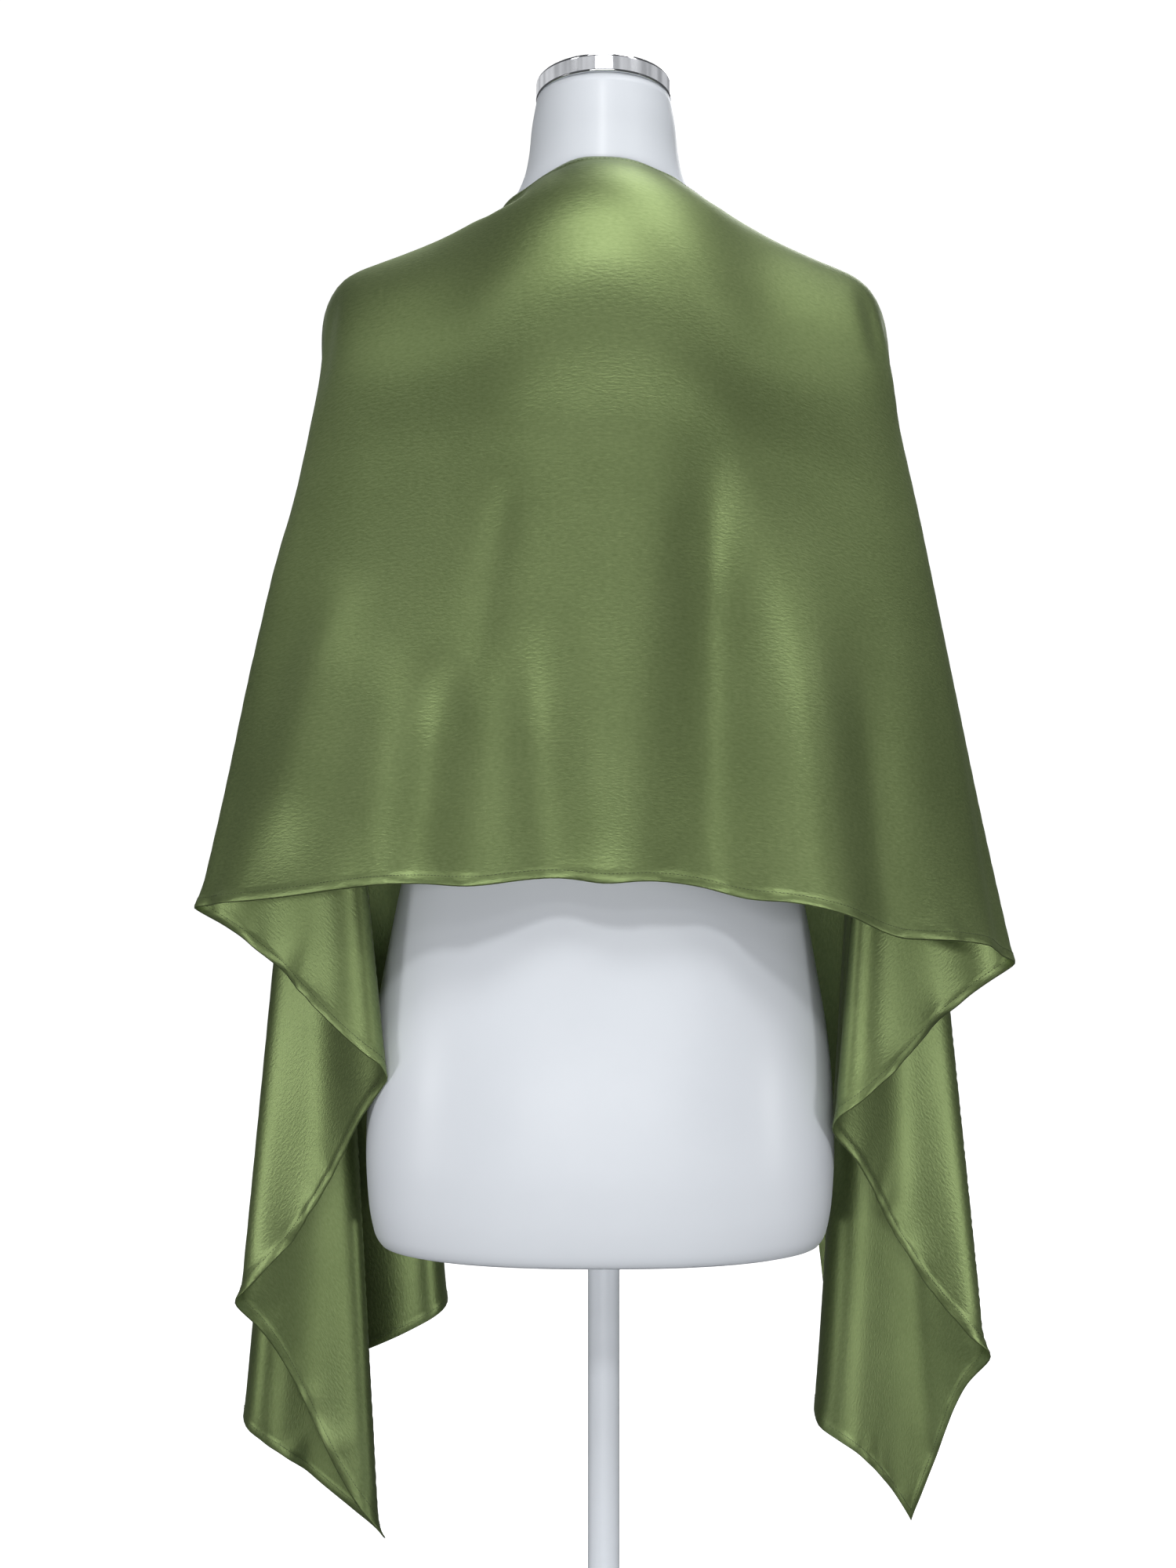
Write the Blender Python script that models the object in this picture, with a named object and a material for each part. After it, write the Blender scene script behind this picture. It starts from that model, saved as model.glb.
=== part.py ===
# Satin shawl draped on a limbless dress form, seen from the wearer's back.
# Metres, +Z up, the wearer's back faces -Y, the origin is under the middle of the stand.
import math

import bmesh
import bpy
import numpy as np
from mathutils import Vector
from mathutils.bvhtree import BVHTree

# Cut of the cloth, measured along the flat stole
CLOTH_WIDTH = 0.50
LEFT_LENGTH = 1.016
RIGHT_LENGTH = 0.990
WALL = 0.0014
HEM_WIDTH = 0.007
HEM_EXTRA = 0.0003
SEAM_GAP = 0.0006
FORM_CLEARANCE = 0.0012

# Neck edge and shoulder line that the cloth hangs from, outward from the middle
NAPE_Y = -0.060
NAPE_Z = 1.0524
NECK_POINT_Z = 1.0263
NECK_RISE_POWER = 3.5
SHOULDER_TIP_OUT = 0.176
SHOULDER_TIP_DROP = 0.0015
SIDE_SHAPES = {
    "left": {"sign": -1.0, "length": LEFT_LENGTH, "neck_out": 0.075, "neck_u": 0.1065,
             "tip_u": 0.2035, "tip_v": 0.050, "shoulder_drop": 0.0410},
    "right": {"sign": 1.0, "length": RIGHT_LENGTH, "neck_out": 0.0815, "neck_u": 0.1120,
              "tip_u": 0.2126, "tip_v": 0.030, "shoulder_drop": 0.0445},
}

# Hanging lines: the place on the edge of the cut that each one ends at, what it moves out and
# back or forward while it lies over the body and for how long, where it ends in plan, and how
# far the hem settles below its place there
LINE_COLUMNS = ("name", "cut", "carry_out", "carry_y", "over", "hem_out", "hem_y", "settle")
LEFT_LINES = (
    ("nape", 0.000, 0.000, -0.050, 0.150, 0.000, -0.117, 0.008),
    ("nape_side", 0.060, 0.005, -0.074, 0.170, 0.060, -0.118, -0.004),
    ("blade", 0.1065, 0.012, -0.092, 0.190, 0.105, -0.117, 0.004),
    ("shoulder", 0.2035, 0.010, -0.055, 0.112, 0.185, -0.103, 0.004),
    ("near_a", 0.270, 0.012, -0.040, 0.085, 0.250, -0.070, 0.002),
    ("a", 0.3150, 0.012, -0.034, 0.074, 0.280, -0.038, 0.000),
    ("b", 0.5450, 0.018, -0.018, 0.052, 0.1417, -0.060, 0.000),
    ("c", 0.7850, 0.022, 0.010, 0.050, 0.264, 0.030, 0.000),
    ("d", 1.0100, 0.022, 0.034, 0.080, 0.158, 0.085, 0.000),
    ("e", 1.1980, 0.018, 0.056, 0.120, 0.269, 0.112, 0.000),
    ("f", 1.3750, -0.020, 0.110, 0.240, 0.117, 0.150, -0.022),
    ("chest", 1.4660, -0.005, 0.115, 0.240, 0.178, 0.166, -0.014),
    ("g", 1.5160, 0.002, 0.130, 0.260, 0.215, 0.172, -0.010),
)
RIGHT_LINES = (
    ("nape", 0.000, 0.000, -0.050, 0.150, 0.000, -0.117, 0.008),
    ("nape_side", 0.060, 0.005, -0.074, 0.170, 0.060, -0.118, 0.000),
    ("blade", 0.1120, 0.012, -0.092, 0.190, 0.110, -0.117, 0.014),
    ("shoulder", 0.2126, 0.010, -0.055, 0.112, 0.192, -0.103, 0.010),
    ("near_a", 0.325, 0.012, -0.040, 0.085, 0.262, -0.060, 0.002),
    ("a", 0.3770, 0.012, -0.034, 0.074, 0.284, -0.030, 0.000),
    ("b", 0.5770, 0.018, -0.018, 0.052, 0.1510, -0.055, 0.000),
    ("c", 0.8300, 0.028, 0.010, 0.056, 0.278, 0.032, 0.000),
    ("d", 0.9850, 0.026, 0.034, 0.080, 0.226, 0.075, 0.000),
    ("e", 1.1440, 0.018, 0.052, 0.110, 0.154, 0.092, 0.000),
    ("f", 1.3200, 0.010, 0.085, 0.180, 0.250, 0.132, -0.010),
    ("chest", 1.4600, -0.002, 0.115, 0.240, 0.190, 0.160, -0.012),
    ("g", 1.4900, 0.000, 0.130, 0.260, 0.172, 0.166, -0.012),
)
NEAR_A_ROW = 4
FOLD_RADII = {"a": 0.012, "b": 0.011, "c": 0.012, "d": 0.011, "e": 0.013, "f": 0.012}
FOLD_RUN = 1.5
FOLD_START = 0.042
FOLD_SOFTNESS = 0.06
FACING_REACH = 0.003
LEAST_DROP = 0.12

# Broad soft folds of the back: place across the hem, half width, depth and height of the start
BACK_FOLDS = (
    ("long_trough", 0.055, 0.030, 0.0080, 0.22),
    ("long_ridge", 0.140, 0.030, -0.0070, 0.20),
    ("edge_trough", 0.185, 0.022, 0.0060, 0.34),
    ("left_trough", -0.118, 0.020, 0.0050, 0.30),
    ("middle_trough", -0.038, 0.018, 0.0040, 0.36),
    ("left_ridge", -0.205, 0.030, -0.0050, 0.24),
)
BACK_FOLD_FADE = 0.08
BACK_FOLD_GROWTH = 1.3

# Dress form: height, half width, reach to the front and to the back, squareness of the section
FORM_SECTIONS = (
    (0.3100, 0.1440, 0.0930, 0.0900, 2.3),
    (0.3125, 0.1520, 0.1000, 0.0970, 2.3),
    (0.3220, 0.1572, 0.1052, 0.1000, 2.3),
    (0.3450, 0.1610, 0.1090, 0.1030, 2.3),
    (0.3750, 0.1625, 0.1110, 0.1050, 2.3),
    (0.4150, 0.1615, 0.1110, 0.1055, 2.3),
    (0.4550, 0.1580, 0.1080, 0.1040, 2.3),
    (0.5000, 0.1505, 0.1030, 0.0990, 2.3),
    (0.5500, 0.1410, 0.0970, 0.0910, 2.3),
    (0.6000, 0.1310, 0.0930, 0.0840, 2.3),
    (0.6450, 0.1250, 0.0920, 0.0770, 2.3),
    (0.6900, 0.1235, 0.0940, 0.0770, 2.3),
    (0.7400, 0.1300, 0.0990, 0.0840, 2.3),
    (0.7900, 0.1420, 0.1040, 0.0930, 2.4),
    (0.8350, 0.1530, 0.1030, 0.0990, 2.4),
    (0.8750, 0.1640, 0.0950, 0.1000, 2.3),
    (0.9080, 0.1740, 0.0830, 0.0960, 2.1),
    (0.9350, 0.1790, 0.0700, 0.0880, 1.9),
    (0.9550, 0.1800, 0.0590, 0.0790, 1.8),
    (0.9700, 0.1770, 0.0510, 0.0710, 1.7),
    (0.9800, 0.1700, 0.0470, 0.0660, 1.6),
    (0.9880, 0.1580, 0.0450, 0.0620, 1.5),
    (0.9960, 0.1370, 0.0440, 0.0590, 1.5),
    (1.0050, 0.1120, 0.0440, 0.0570, 1.6),
    (1.0140, 0.0900, 0.0450, 0.0550, 1.7),
    (1.0230, 0.0745, 0.0460, 0.0545, 1.9),
    (1.0320, 0.0660, 0.0475, 0.0540, 2.0),
    (1.0420, 0.0595, 0.0480, 0.0530, 2.0),
    (1.0550, 0.0545, 0.0480, 0.0515, 2.0),
    (1.0700, 0.0518, 0.0475, 0.0495, 2.0),
    (1.0860, 0.0503, 0.0470, 0.0480, 2.0),
    (1.1065, 0.0468, 0.0455, 0.0455, 2.0),
)
FORM_SEGMENTS = 44
HIP_SHIFT = -0.0025
HIP_SHIFT_TOP = 0.80
HIP_SHIFT_RUN = 0.30
BUST_OUT = 0.078
BUST_Z = 0.835
BUST_SIZE = 0.024
BUST_SPREAD = 0.052
NECK_TILT = math.radians(10.0)
NECK_TILT_START = 1.030
NECK_LEAN = 0.004

# Neck cap, pole and base
CAP_HEIGHT = 0.0125
CAP_RADIUS = 0.0472
CAP_EDGE = 0.0020
PART_GAP = 0.0004
POLE_RADIUS = 0.0110
BASE_RADIUS = 0.1200
BASE_HEIGHT = 0.0080
BASE_EDGE = 0.0020
ROUND_SEGMENTS = 48

# How finely the cloth is divided
COLUMN_SPACING = 0.033
CORNER_COLUMN_SPACING = 0.006
ROWS_DOWN = 15
TOP_ROWS = (0.012, 0.035, 0.065)
CLEAR_REACH = 0.03


def clear_scene():
    for thing in list(bpy.data.objects):
        bpy.data.objects.remove(thing, do_unlink=True)


def make_material(name, colour, metallic, roughness):
    material = bpy.data.materials.new(name)
    material.use_nodes = True
    shader = material.node_tree.nodes["Principled BSDF"]
    shader.inputs["Base Color"].default_value = (*colour, 1.0)
    shader.inputs["Metallic"].default_value = metallic
    shader.inputs["Roughness"].default_value = roughness
    return material


def make_object(name, vertices, faces, material):
    mesh = bpy.data.meshes.new(name)
    mesh.from_pydata([tuple(float(value) for value in vertex) for vertex in vertices], [], faces)
    builder = bmesh.new()
    builder.from_mesh(mesh)
    bmesh.ops.recalc_face_normals(builder, faces=builder.faces)
    builder.to_mesh(mesh)
    builder.free()
    for polygon in mesh.polygons:
        polygon.use_smooth = True
    mesh.materials.append(material)
    made = bpy.data.objects.new(name, mesh)
    bpy.context.scene.collection.objects.link(made)
    return made


# Smooth values between the rows of a table, with no overshoot between two rows
def between_rows(knots, values, at):
    knots = np.asarray(knots, float)
    values = np.asarray(values, float)
    step = np.diff(knots)
    slope = np.diff(values) / step
    tangent = np.zeros(len(knots))
    tangent[0] = slope[0]
    tangent[-1] = slope[-1]
    for row in range(1, len(knots) - 1):
        before, after = slope[row - 1], slope[row]
        if before * after > 0:
            tangent[row] = 2 * before * after / (before + after)
    at = np.clip(at, knots[0], knots[-1])
    row = np.clip(np.searchsorted(knots, at, side="right") - 1, 0, len(step) - 1)
    part = (at - knots[row]) / step[row]
    start = (1 + 2 * part) * (1 - part) ** 2 * values[row]
    end = part ** 2 * (3 - 2 * part) * values[row + 1]
    lean_in = part * (1 - part) ** 2 * step[row] * tangent[row]
    lean_out = part ** 2 * (1 - part) * step[row] * tangent[row + 1]
    return start + end + lean_in - lean_out


# Plan of the hem: each fold of the table becomes a half round turn between two straight runs
def hem_plan(lines):
    knots, outs, ys = [], [], []
    for number, row in enumerate(lines):
        name, cut, hem_out, hem_y = row[0], row[1], row[5], row[6]
        radius = FOLD_RADII.get(name)
        if radius is None:
            knots.append(cut)
            outs.append(hem_out)
            ys.append(hem_y)
            continue
        inward = 1.0 if hem_out < lines[number - 1][5] else -1.0
        for turn in (-1.0, -0.5, 0.0, 0.5, 1.0):
            angle = turn * math.pi / 2
            knots.append(cut + turn * radius * FOLD_RUN)
            outs.append(hem_out + inward * radius * (1 - math.cos(angle)))
            ys.append(hem_y + radius * math.sin(angle))
    return np.array(knots), np.array(outs), np.array(ys)


class DrapedSide:
    """One half of the stole, from the middle of the back to its end."""

    def __init__(self, side, lines):
        self.shape = SIDE_SHAPES[side]
        self.lines = lines
        self.cuts = self.column("cut")
        self.hem = hem_plan(lines)

    def column(self, name):
        return [row[LINE_COLUMNS.index(name)] for row in self.lines]

    # The hanging line through a point of the flat stole: its end on the edge, length and place on it
    def line_of(self, u, v):
        shape = self.shape
        length, tip_u, tip_v, neck_u = shape["length"], shape["tip_u"], shape["tip_v"], shape["neck_u"]
        ridge_v = np.clip((u - neck_u) / (tip_u - neck_u), 0, 1) * tip_v
        ridge_u = neck_u + np.clip(v / tip_v, 0, 1) * (tip_u - neck_u)
        on_back = (u <= tip_u) & (v >= ridge_v)
        on_front = ~on_back & (v <= tip_v)
        aside = np.maximum(u - tip_u, 0)
        down = np.maximum(v - tip_v, 0)
        angle = np.arctan2(aside, down)
        corner = math.atan2(length - tip_u, CLOTH_WIDTH - tip_v)
        to_hem = angle <= corner
        hem_cut = tip_u + (CLOTH_WIDTH - tip_v) * np.tan(np.minimum(angle, corner))
        end_cut = length + CLOTH_WIDTH - tip_v - (length - tip_u) / np.tan(np.maximum(angle, corner))
        fan_cut = np.where(to_hem, hem_cut, end_cut)
        cut = np.where(on_back, u, np.where(on_front, length + CLOTH_WIDTH - v, fan_cut))
        place = np.where(on_back, v - ridge_v, np.where(on_front, u - ridge_u, np.hypot(aside, down)))
        whole = np.where(on_back, CLOTH_WIDTH - ridge_v, np.where(on_front, length - ridge_u, 0.0))
        fan = ~on_back & ~on_front
        end_u = np.minimum(cut, length)
        end_v = np.where(cut <= length, CLOTH_WIDTH, length + CLOTH_WIDTH - cut)
        whole = np.where(fan, np.hypot(end_u - tip_u, end_v - tip_v), whole)
        ridge_share = np.where(on_back, np.clip((u - neck_u) / (tip_u - neck_u), 0, 1),
                               np.where(on_front, np.clip(v / tip_v, 0, 1), 1.0))
        neck_share = np.where(on_back, np.clip(u / neck_u, 0, 1), 1.0)
        return cut, place, whole, ridge_share, neck_share

    # Start of a hanging line on the neck edge or on the shoulder line
    def top_of(self, ridge_share, neck_share):
        shape = self.shape
        turn = neck_share * math.pi / 2
        out = np.where(neck_share < 1, shape["neck_out"] * np.sin(turn),
                       shape["neck_out"] + (SHOULDER_TIP_OUT - shape["neck_out"]) * ridge_share)
        y = np.where(neck_share < 1, NAPE_Y * np.cos(turn), 0.0)
        rise = (NAPE_Z - NECK_POINT_Z) * np.abs(np.cos(turn)) ** NECK_RISE_POWER
        fall = shape["shoulder_drop"] * ridge_share + SHOULDER_TIP_DROP * ridge_share ** 6
        return out, y, NECK_POINT_Z + np.where(neck_share < 1, rise, -fall)

    # Place in space of points of the flat stole
    def place(self, u, v, steps=48):
        cut, place, whole, ridge_share, neck_share = self.line_of(u, v)
        top_out, top_y, top_z = self.top_of(ridge_share, neck_share)
        carry_out = between_rows(self.cuts, self.column("carry_out"), cut)
        carry_y = between_rows(self.cuts, self.column("carry_y"), cut)
        over = between_rows(self.cuts, self.column("over"), cut)
        hem_out = between_rows(self.hem[0], self.hem[1], cut)
        hem_y = between_rows(self.hem[0], self.hem[2], cut)
        settle = between_rows(self.cuts, self.column("settle"), cut)
        ease_out = hem_out - top_out - carry_out
        ease_y = hem_y - top_y - carry_y

        def plan(run):
            carried = 1 - (1 - np.clip(run / over, 0, 1)) ** 2
            share = np.clip((run - FOLD_START) / (whole - FOLD_START), 0, None)
            eased = share ** 2 / (share + FOLD_SOFTNESS) * (1 + FOLD_SOFTNESS)
            return carry_out * carried + ease_out * eased, carry_y * carried + ease_y * eased

        drop = np.zeros_like(u)
        last_out, last_y = plan(np.zeros_like(u))
        for step in range(1, steps + 1):
            out, y = plan(place * step / steps)
            stride = place / steps
            level = np.hypot(out - last_out, y - last_y)
            drop += np.sqrt(np.maximum(stride ** 2 - level ** 2, (LEAST_DROP * stride) ** 2))
            last_out, last_y = out, y
        x = self.shape["sign"] * (top_out + last_out)
        y = top_y + last_y + self.back_folds(u * self.shape["sign"], place, whole, cut)
        return np.stack([x, y, top_z - drop - settle * (place / whole)], axis=-1)

    # Direction that the outer side faces, from places a little to each side
    def facing(self, u, v):
        length = self.shape["length"]
        reach = FACING_REACH
        after = self.place(np.minimum(u + reach, length), v)
        across = after - self.place(np.maximum(u - reach, 0), v)
        lower = self.place(u, np.minimum(v + reach, CLOTH_WIDTH))
        down = lower - self.place(u, np.maximum(v - reach, 0))
        normal = np.cross(across, down) * -self.shape["sign"]
        return normal / np.linalg.norm(normal, axis=-1)[..., None]

    # Soft folds of the back, deeper towards the hem
    def back_folds(self, across, place, whole, cut):
        moved = np.zeros_like(place)
        fades = np.clip((self.cuts[NEAR_A_ROW] - cut) / BACK_FOLD_FADE, 0, 1)
        for _, middle, half_width, depth, start in BACK_FOLDS:
            grows = np.clip((place - start) / (whole - start), 0, 1) ** BACK_FOLD_GROWTH
            moved += depth * np.exp(-((across - middle) / half_width) ** 2) * grows
        return moved * fades


# A closed wall from a sheet of points: outer side, inner side and the narrow edge round it
def wall_from_sheet(points, normals, faces, thickness):
    offset = normals * (np.asarray(thickness) / 2)[:, None]
    count = len(points)
    vertices = np.concatenate([points + offset, points - offset])
    solid = [tuple(face) for face in faces]
    solid += [tuple(index + count for index in reversed(face)) for face in faces]
    edges = {}
    for face in faces:
        for start, end in zip(face, face[1:] + face[:1]):
            edges[(start, end)] = True
    for start, end in edges:
        if (end, start) not in edges:
            solid.append((end, start, start + count, end + count))
    return vertices, solid


def push_clear(points, form_tree, clearance):
    moved = points.copy()
    for index, point in enumerate(points):
        hit, normal, _, distance = form_tree.find_nearest(Vector(point), CLEAR_REACH)
        if hit is None:
            continue
        height = (Vector(point) - hit).dot(normal)
        signed = math.copysign(distance, height)
        if signed < clearance:
            moved[index] = np.array(hit + normal * clearance)
    return moved


# Places across the cloth where the hanging lines of a stretch run, closer together in the folds
def cut_places(lines, first, last):
    places = []
    for row, after in zip(lines, lines[1:]):
        start, end = row[1], after[1]
        if row[0] in FOLD_RADII:
            start += FOLD_RADII[row[0]] * FOLD_RUN
        if after[0] in FOLD_RADII:
            end -= FOLD_RADII[after[0]] * FOLD_RUN
        pieces = max(2, round((end - start) / COLUMN_SPACING))
        places += [start + (end - start) * step / pieces for step in range(pieces + 1)]
        if after[0] in FOLD_RADII:
            reach = FOLD_RADII[after[0]] * FOLD_RUN
            places += [after[1] - reach * 0.5, after[1], after[1] + reach * 0.5]
    return [place for place in sorted(set(round(value, 5) for value in places)) if first <= place <= last]


def line_rows(whole):
    rest = ROWS_DOWN - len(TOP_ROWS)
    rows = [0.0, *TOP_ROWS]
    for step in range(1, rest):
        rows.append(TOP_ROWS[-1] + (whole - HEM_WIDTH - TOP_ROWS[-1]) * step / (rest - 1))
    return rows + [whole]


def form_section(section, angle):
    height, half_width, front, back, squareness = section
    cosine, sine = math.cos(angle), math.sin(angle)
    out = half_width * math.copysign(abs(cosine) ** (2 / squareness), cosine)
    reach = front if sine > 0 else back
    y = reach * math.copysign(abs(sine) ** (2 / squareness), sine)
    if sine > 0:
        spread = ((abs(out) - BUST_OUT) / BUST_SPREAD) ** 2 + ((height - BUST_Z) / BUST_SPREAD) ** 2
        y += BUST_SIZE * math.exp(-spread) * sine
    share = max(0.0, height - NECK_TILT_START) / (FORM_SECTIONS[-1][0] - NECK_TILT_START)
    y += NECK_LEAN * share
    hip_share = min(1.0, max(0.0, (HIP_SHIFT_TOP - height) / HIP_SHIFT_RUN))
    z = height - y * math.tan(NECK_TILT) * share
    return (out + HIP_SHIFT * hip_share, y, z)


def build_form(material):
    vertices, faces = [], []
    for section in FORM_SECTIONS:
        for step in range(FORM_SEGMENTS):
            vertices.append(form_section(section, 2 * math.pi * step / FORM_SEGMENTS))
    for ring in range(len(FORM_SECTIONS) - 1):
        for step in range(FORM_SEGMENTS):
            after = (step + 1) % FORM_SEGMENTS
            low, high = ring * FORM_SEGMENTS, (ring + 1) * FORM_SEGMENTS
            faces.append((low + step, low + after, high + after, high + step))
    faces.append(tuple(reversed(range(FORM_SEGMENTS))))
    top = (len(FORM_SECTIONS) - 1) * FORM_SEGMENTS
    faces.append(tuple(range(top, top + FORM_SEGMENTS)))
    return make_object("form_torso", vertices, faces, material)


# A round body turned about an upright line, from its profile of radius and height
def turned(name, profile, material, tilt=0.0, middle=(0.0, 0.0)):
    vertices, faces = [], []
    for radius, height in profile:
        for step in range(ROUND_SEGMENTS):
            angle = 2 * math.pi * step / ROUND_SEGMENTS
            x, y = radius * math.cos(angle), radius * math.sin(angle)
            vertices.append((middle[0] + x, middle[1] + y, height - (middle[1] + y) * math.tan(tilt)))
    for ring in range(len(profile) - 1):
        for step in range(ROUND_SEGMENTS):
            after = (step + 1) % ROUND_SEGMENTS
            low, high = ring * ROUND_SEGMENTS, (ring + 1) * ROUND_SEGMENTS
            faces.append((low + step, low + after, high + after, high + step))
    faces.append(tuple(reversed(range(ROUND_SEGMENTS))))
    top = (len(profile) - 1) * ROUND_SEGMENTS
    faces.append(tuple(range(top, top + ROUND_SEGMENTS)))
    return make_object(name, vertices, faces, material)


# Sheet of the back between the two first folds
def back_sheet(sides):
    columns = []
    for side_name in ("left", "right"):
        side = sides[side_name]
        fold_cut = next(row[1] for row in side.lines if row[0] == "a")
        tip_u, tip_v = side.shape["tip_u"], side.shape["tip_v"]
        neck_u = side.shape["neck_u"]
        places = cut_places(side.lines, 0.0, fold_cut)
        for place in places[1:] if side_name == "right" else places:
            end = (place, CLOTH_WIDTH)
            if place <= tip_u:
                start = (place, max(0.0, (place - neck_u) / (tip_u - neck_u)) * tip_v)
            else:
                start = (tip_u, tip_v)
            columns.append((side_name, place, start, end))
    left = sorted((item for item in columns if item[0] == "left"), key=lambda item: -item[1])
    right = sorted((item for item in columns if item[0] == "right"), key=lambda item: item[1])
    return left + right


def build_stretch(name, sides, ordered, form_tree, material, shift):
    flat, grid, index_of = [], [], {}
    for side_name, _, start, end in ordered:
        whole = math.dist(start, end)
        column = []
        for run in line_rows(whole):
            share = run / whole
            u = start[0] + (end[0] - start[0]) * share + shift
            v = start[1] + (end[1] - start[1]) * share
            key = (side_name if abs(u) > 1e-9 else "middle", round(u, 6), round(v, 6))
            if key not in index_of:
                index_of[key] = len(flat)
                flat.append((side_name, u, v))
            column.append(index_of[key])
        grid.append(column)
    points = np.zeros((len(flat), 3))
    normals = np.zeros((len(flat), 3))
    thickness = np.full(len(flat), WALL)
    for side_name, side in sides.items():
        chosen = [index for index, item in enumerate(flat) if item[0] == side_name]
        if not chosen:
            continue
        u = np.array([flat[index][1] for index in chosen])
        v = np.array([flat[index][2] for index in chosen])
        points[chosen] = side.place(u, v)
        normals[chosen] = side.facing(u, v)
        border = np.minimum(np.minimum(CLOTH_WIDTH - v, v), side.shape["length"] - u)
        thickness[chosen] += np.where(border < HEM_WIDTH, 2 * HEM_EXTRA, 0.0)
    faces = []
    for first, second in zip(grid, grid[1:]):
        for row in range(len(first) - 1):
            face = [first[row], first[row + 1], second[row + 1], second[row]]
            face = [value for place, value in enumerate(face) if value not in face[:place]]
            if len(face) > 2:
                faces.append(tuple(face))
    points = push_clear(points, form_tree, WALL / 2 + FORM_CLEARANCE)
    vertices, solid = wall_from_sheet(points, normals, faces, thickness)
    return make_object(name, vertices, solid, material)


def fall_columns(side_name, side):
    shape = side.shape
    fold_cut = next(row[1] for row in side.lines if row[0] == "a")
    length, tip_u, tip_v, neck_u = shape["length"], shape["tip_u"], shape["tip_v"], shape["neck_u"]
    columns = []
    places = cut_places(side.lines, fold_cut, length + CLOTH_WIDTH)
    if all(abs(place - length) > 1e-6 for place in places):
        places = sorted([place for place in places if abs(place - length) > CORNER_COLUMN_SPACING] + [length])
    for place in places:
        end_v = CLOTH_WIDTH if place <= length else length + CLOTH_WIDTH - place
        end = (min(place, length) - SEAM_GAP, end_v)
        if end[1] < tip_v:
            start = (neck_u + end[1] / tip_v * (tip_u - neck_u), end[1])
        else:
            start = (tip_u, tip_v)
        columns.append((side_name, place, start, end))
    return columns


def main():
    clear_scene()
    white = make_material("white_enamel", (0.78, 0.80, 0.85), 0.0, 0.28)
    chrome = make_material("chrome", (0.85, 0.86, 0.88), 1.0, 0.12)
    satin = make_material("green_satin", (0.20, 0.26, 0.11), 0.0, 0.42)
    form = build_form(white)
    form_tree = BVHTree.FromPolygons([vertex.co.copy() for vertex in form.data.vertices],
                                     [tuple(polygon.vertices) for polygon in form.data.polygons])
    neck_top = FORM_SECTIONS[-1][0] + PART_GAP
    turned("neck_cap", ((CAP_RADIUS - CAP_EDGE / 2, neck_top), (CAP_RADIUS, neck_top + CAP_EDGE / 2),
                        (CAP_RADIUS, neck_top + CAP_HEIGHT - CAP_EDGE),
                        (CAP_RADIUS - CAP_EDGE * 0.3, neck_top + CAP_HEIGHT - CAP_EDGE * 0.3),
                        (CAP_RADIUS - CAP_EDGE, neck_top + CAP_HEIGHT)), chrome, NECK_TILT, (0.0, NECK_LEAN))
    pole_top = FORM_SECTIONS[0][0] - PART_GAP
    turned("stand_pole", ((POLE_RADIUS, BASE_HEIGHT + PART_GAP), (POLE_RADIUS, pole_top)), white)
    turned("stand_base", ((BASE_RADIUS, 0.0), (BASE_RADIUS, BASE_HEIGHT - BASE_EDGE),
                          (BASE_RADIUS - BASE_EDGE * 0.3, BASE_HEIGHT - BASE_EDGE * 0.3),
                          (BASE_RADIUS - BASE_EDGE, BASE_HEIGHT)), white)
    sides = {"left": DrapedSide("left", LEFT_LINES), "right": DrapedSide("right", RIGHT_LINES)}
    build_stretch("shawl_back", sides, back_sheet(sides), form_tree, satin, 0.0)
    for side_name, side in sides.items():
        columns = fall_columns(side_name, side)
        build_stretch("shawl_" + side_name + "_fall", sides, columns, form_tree, satin, SEAM_GAP)


main()
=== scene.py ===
# %% [markdown]
# # A satin stole on a dress form
# The part is a long green satin stole, worn round the shoulders of a white limbless dress form and
# seen from the wearer's back. The solids of the part already stand in the frame, and this lesson
# dresses them: a fine cloth with its hems and stitches, a smooth form, a chrome cap and soft light.

# %% Load the frame
import math

import bmesh
import bpy
import numpy as np
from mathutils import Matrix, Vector
from mathutils.bvhtree import BVHTree


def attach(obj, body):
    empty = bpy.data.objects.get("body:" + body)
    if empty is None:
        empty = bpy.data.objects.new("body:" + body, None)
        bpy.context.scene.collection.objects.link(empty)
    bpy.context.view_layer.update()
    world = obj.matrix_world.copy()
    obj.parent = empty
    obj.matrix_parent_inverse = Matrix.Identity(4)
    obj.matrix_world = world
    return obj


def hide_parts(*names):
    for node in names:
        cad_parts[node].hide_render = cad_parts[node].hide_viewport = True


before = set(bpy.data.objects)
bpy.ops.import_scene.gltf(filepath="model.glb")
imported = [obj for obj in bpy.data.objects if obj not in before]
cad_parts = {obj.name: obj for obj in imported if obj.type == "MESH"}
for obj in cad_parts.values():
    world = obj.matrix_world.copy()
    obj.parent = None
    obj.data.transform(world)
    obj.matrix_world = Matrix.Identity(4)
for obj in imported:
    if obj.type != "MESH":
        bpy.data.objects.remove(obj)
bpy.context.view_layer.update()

# %% [markdown]
# ## The camera
# The picture was taken from behind the form, level with its waist, with a short telephoto lens. A
# camera could be turned by eye in the viewport, but numbers worked out from the picture give the
# same view on every run, and a level camera keeps the pole and the neck upright. It comes first, so
# that every later step can be checked against the photograph.

# %% Camera at the photograph's angle
PHOTO_SIZE = (1500, 2000)
SENSOR = 36.0
FOCAL_PIXELS = 3000.0
CAMERA_DISTANCE = 1.64
CAMERA_HEIGHT = 0.63
FORM_MIDDLE_PIXEL = 770.0
NEAR_AND_FAR = (0.05, 50.0)

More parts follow.
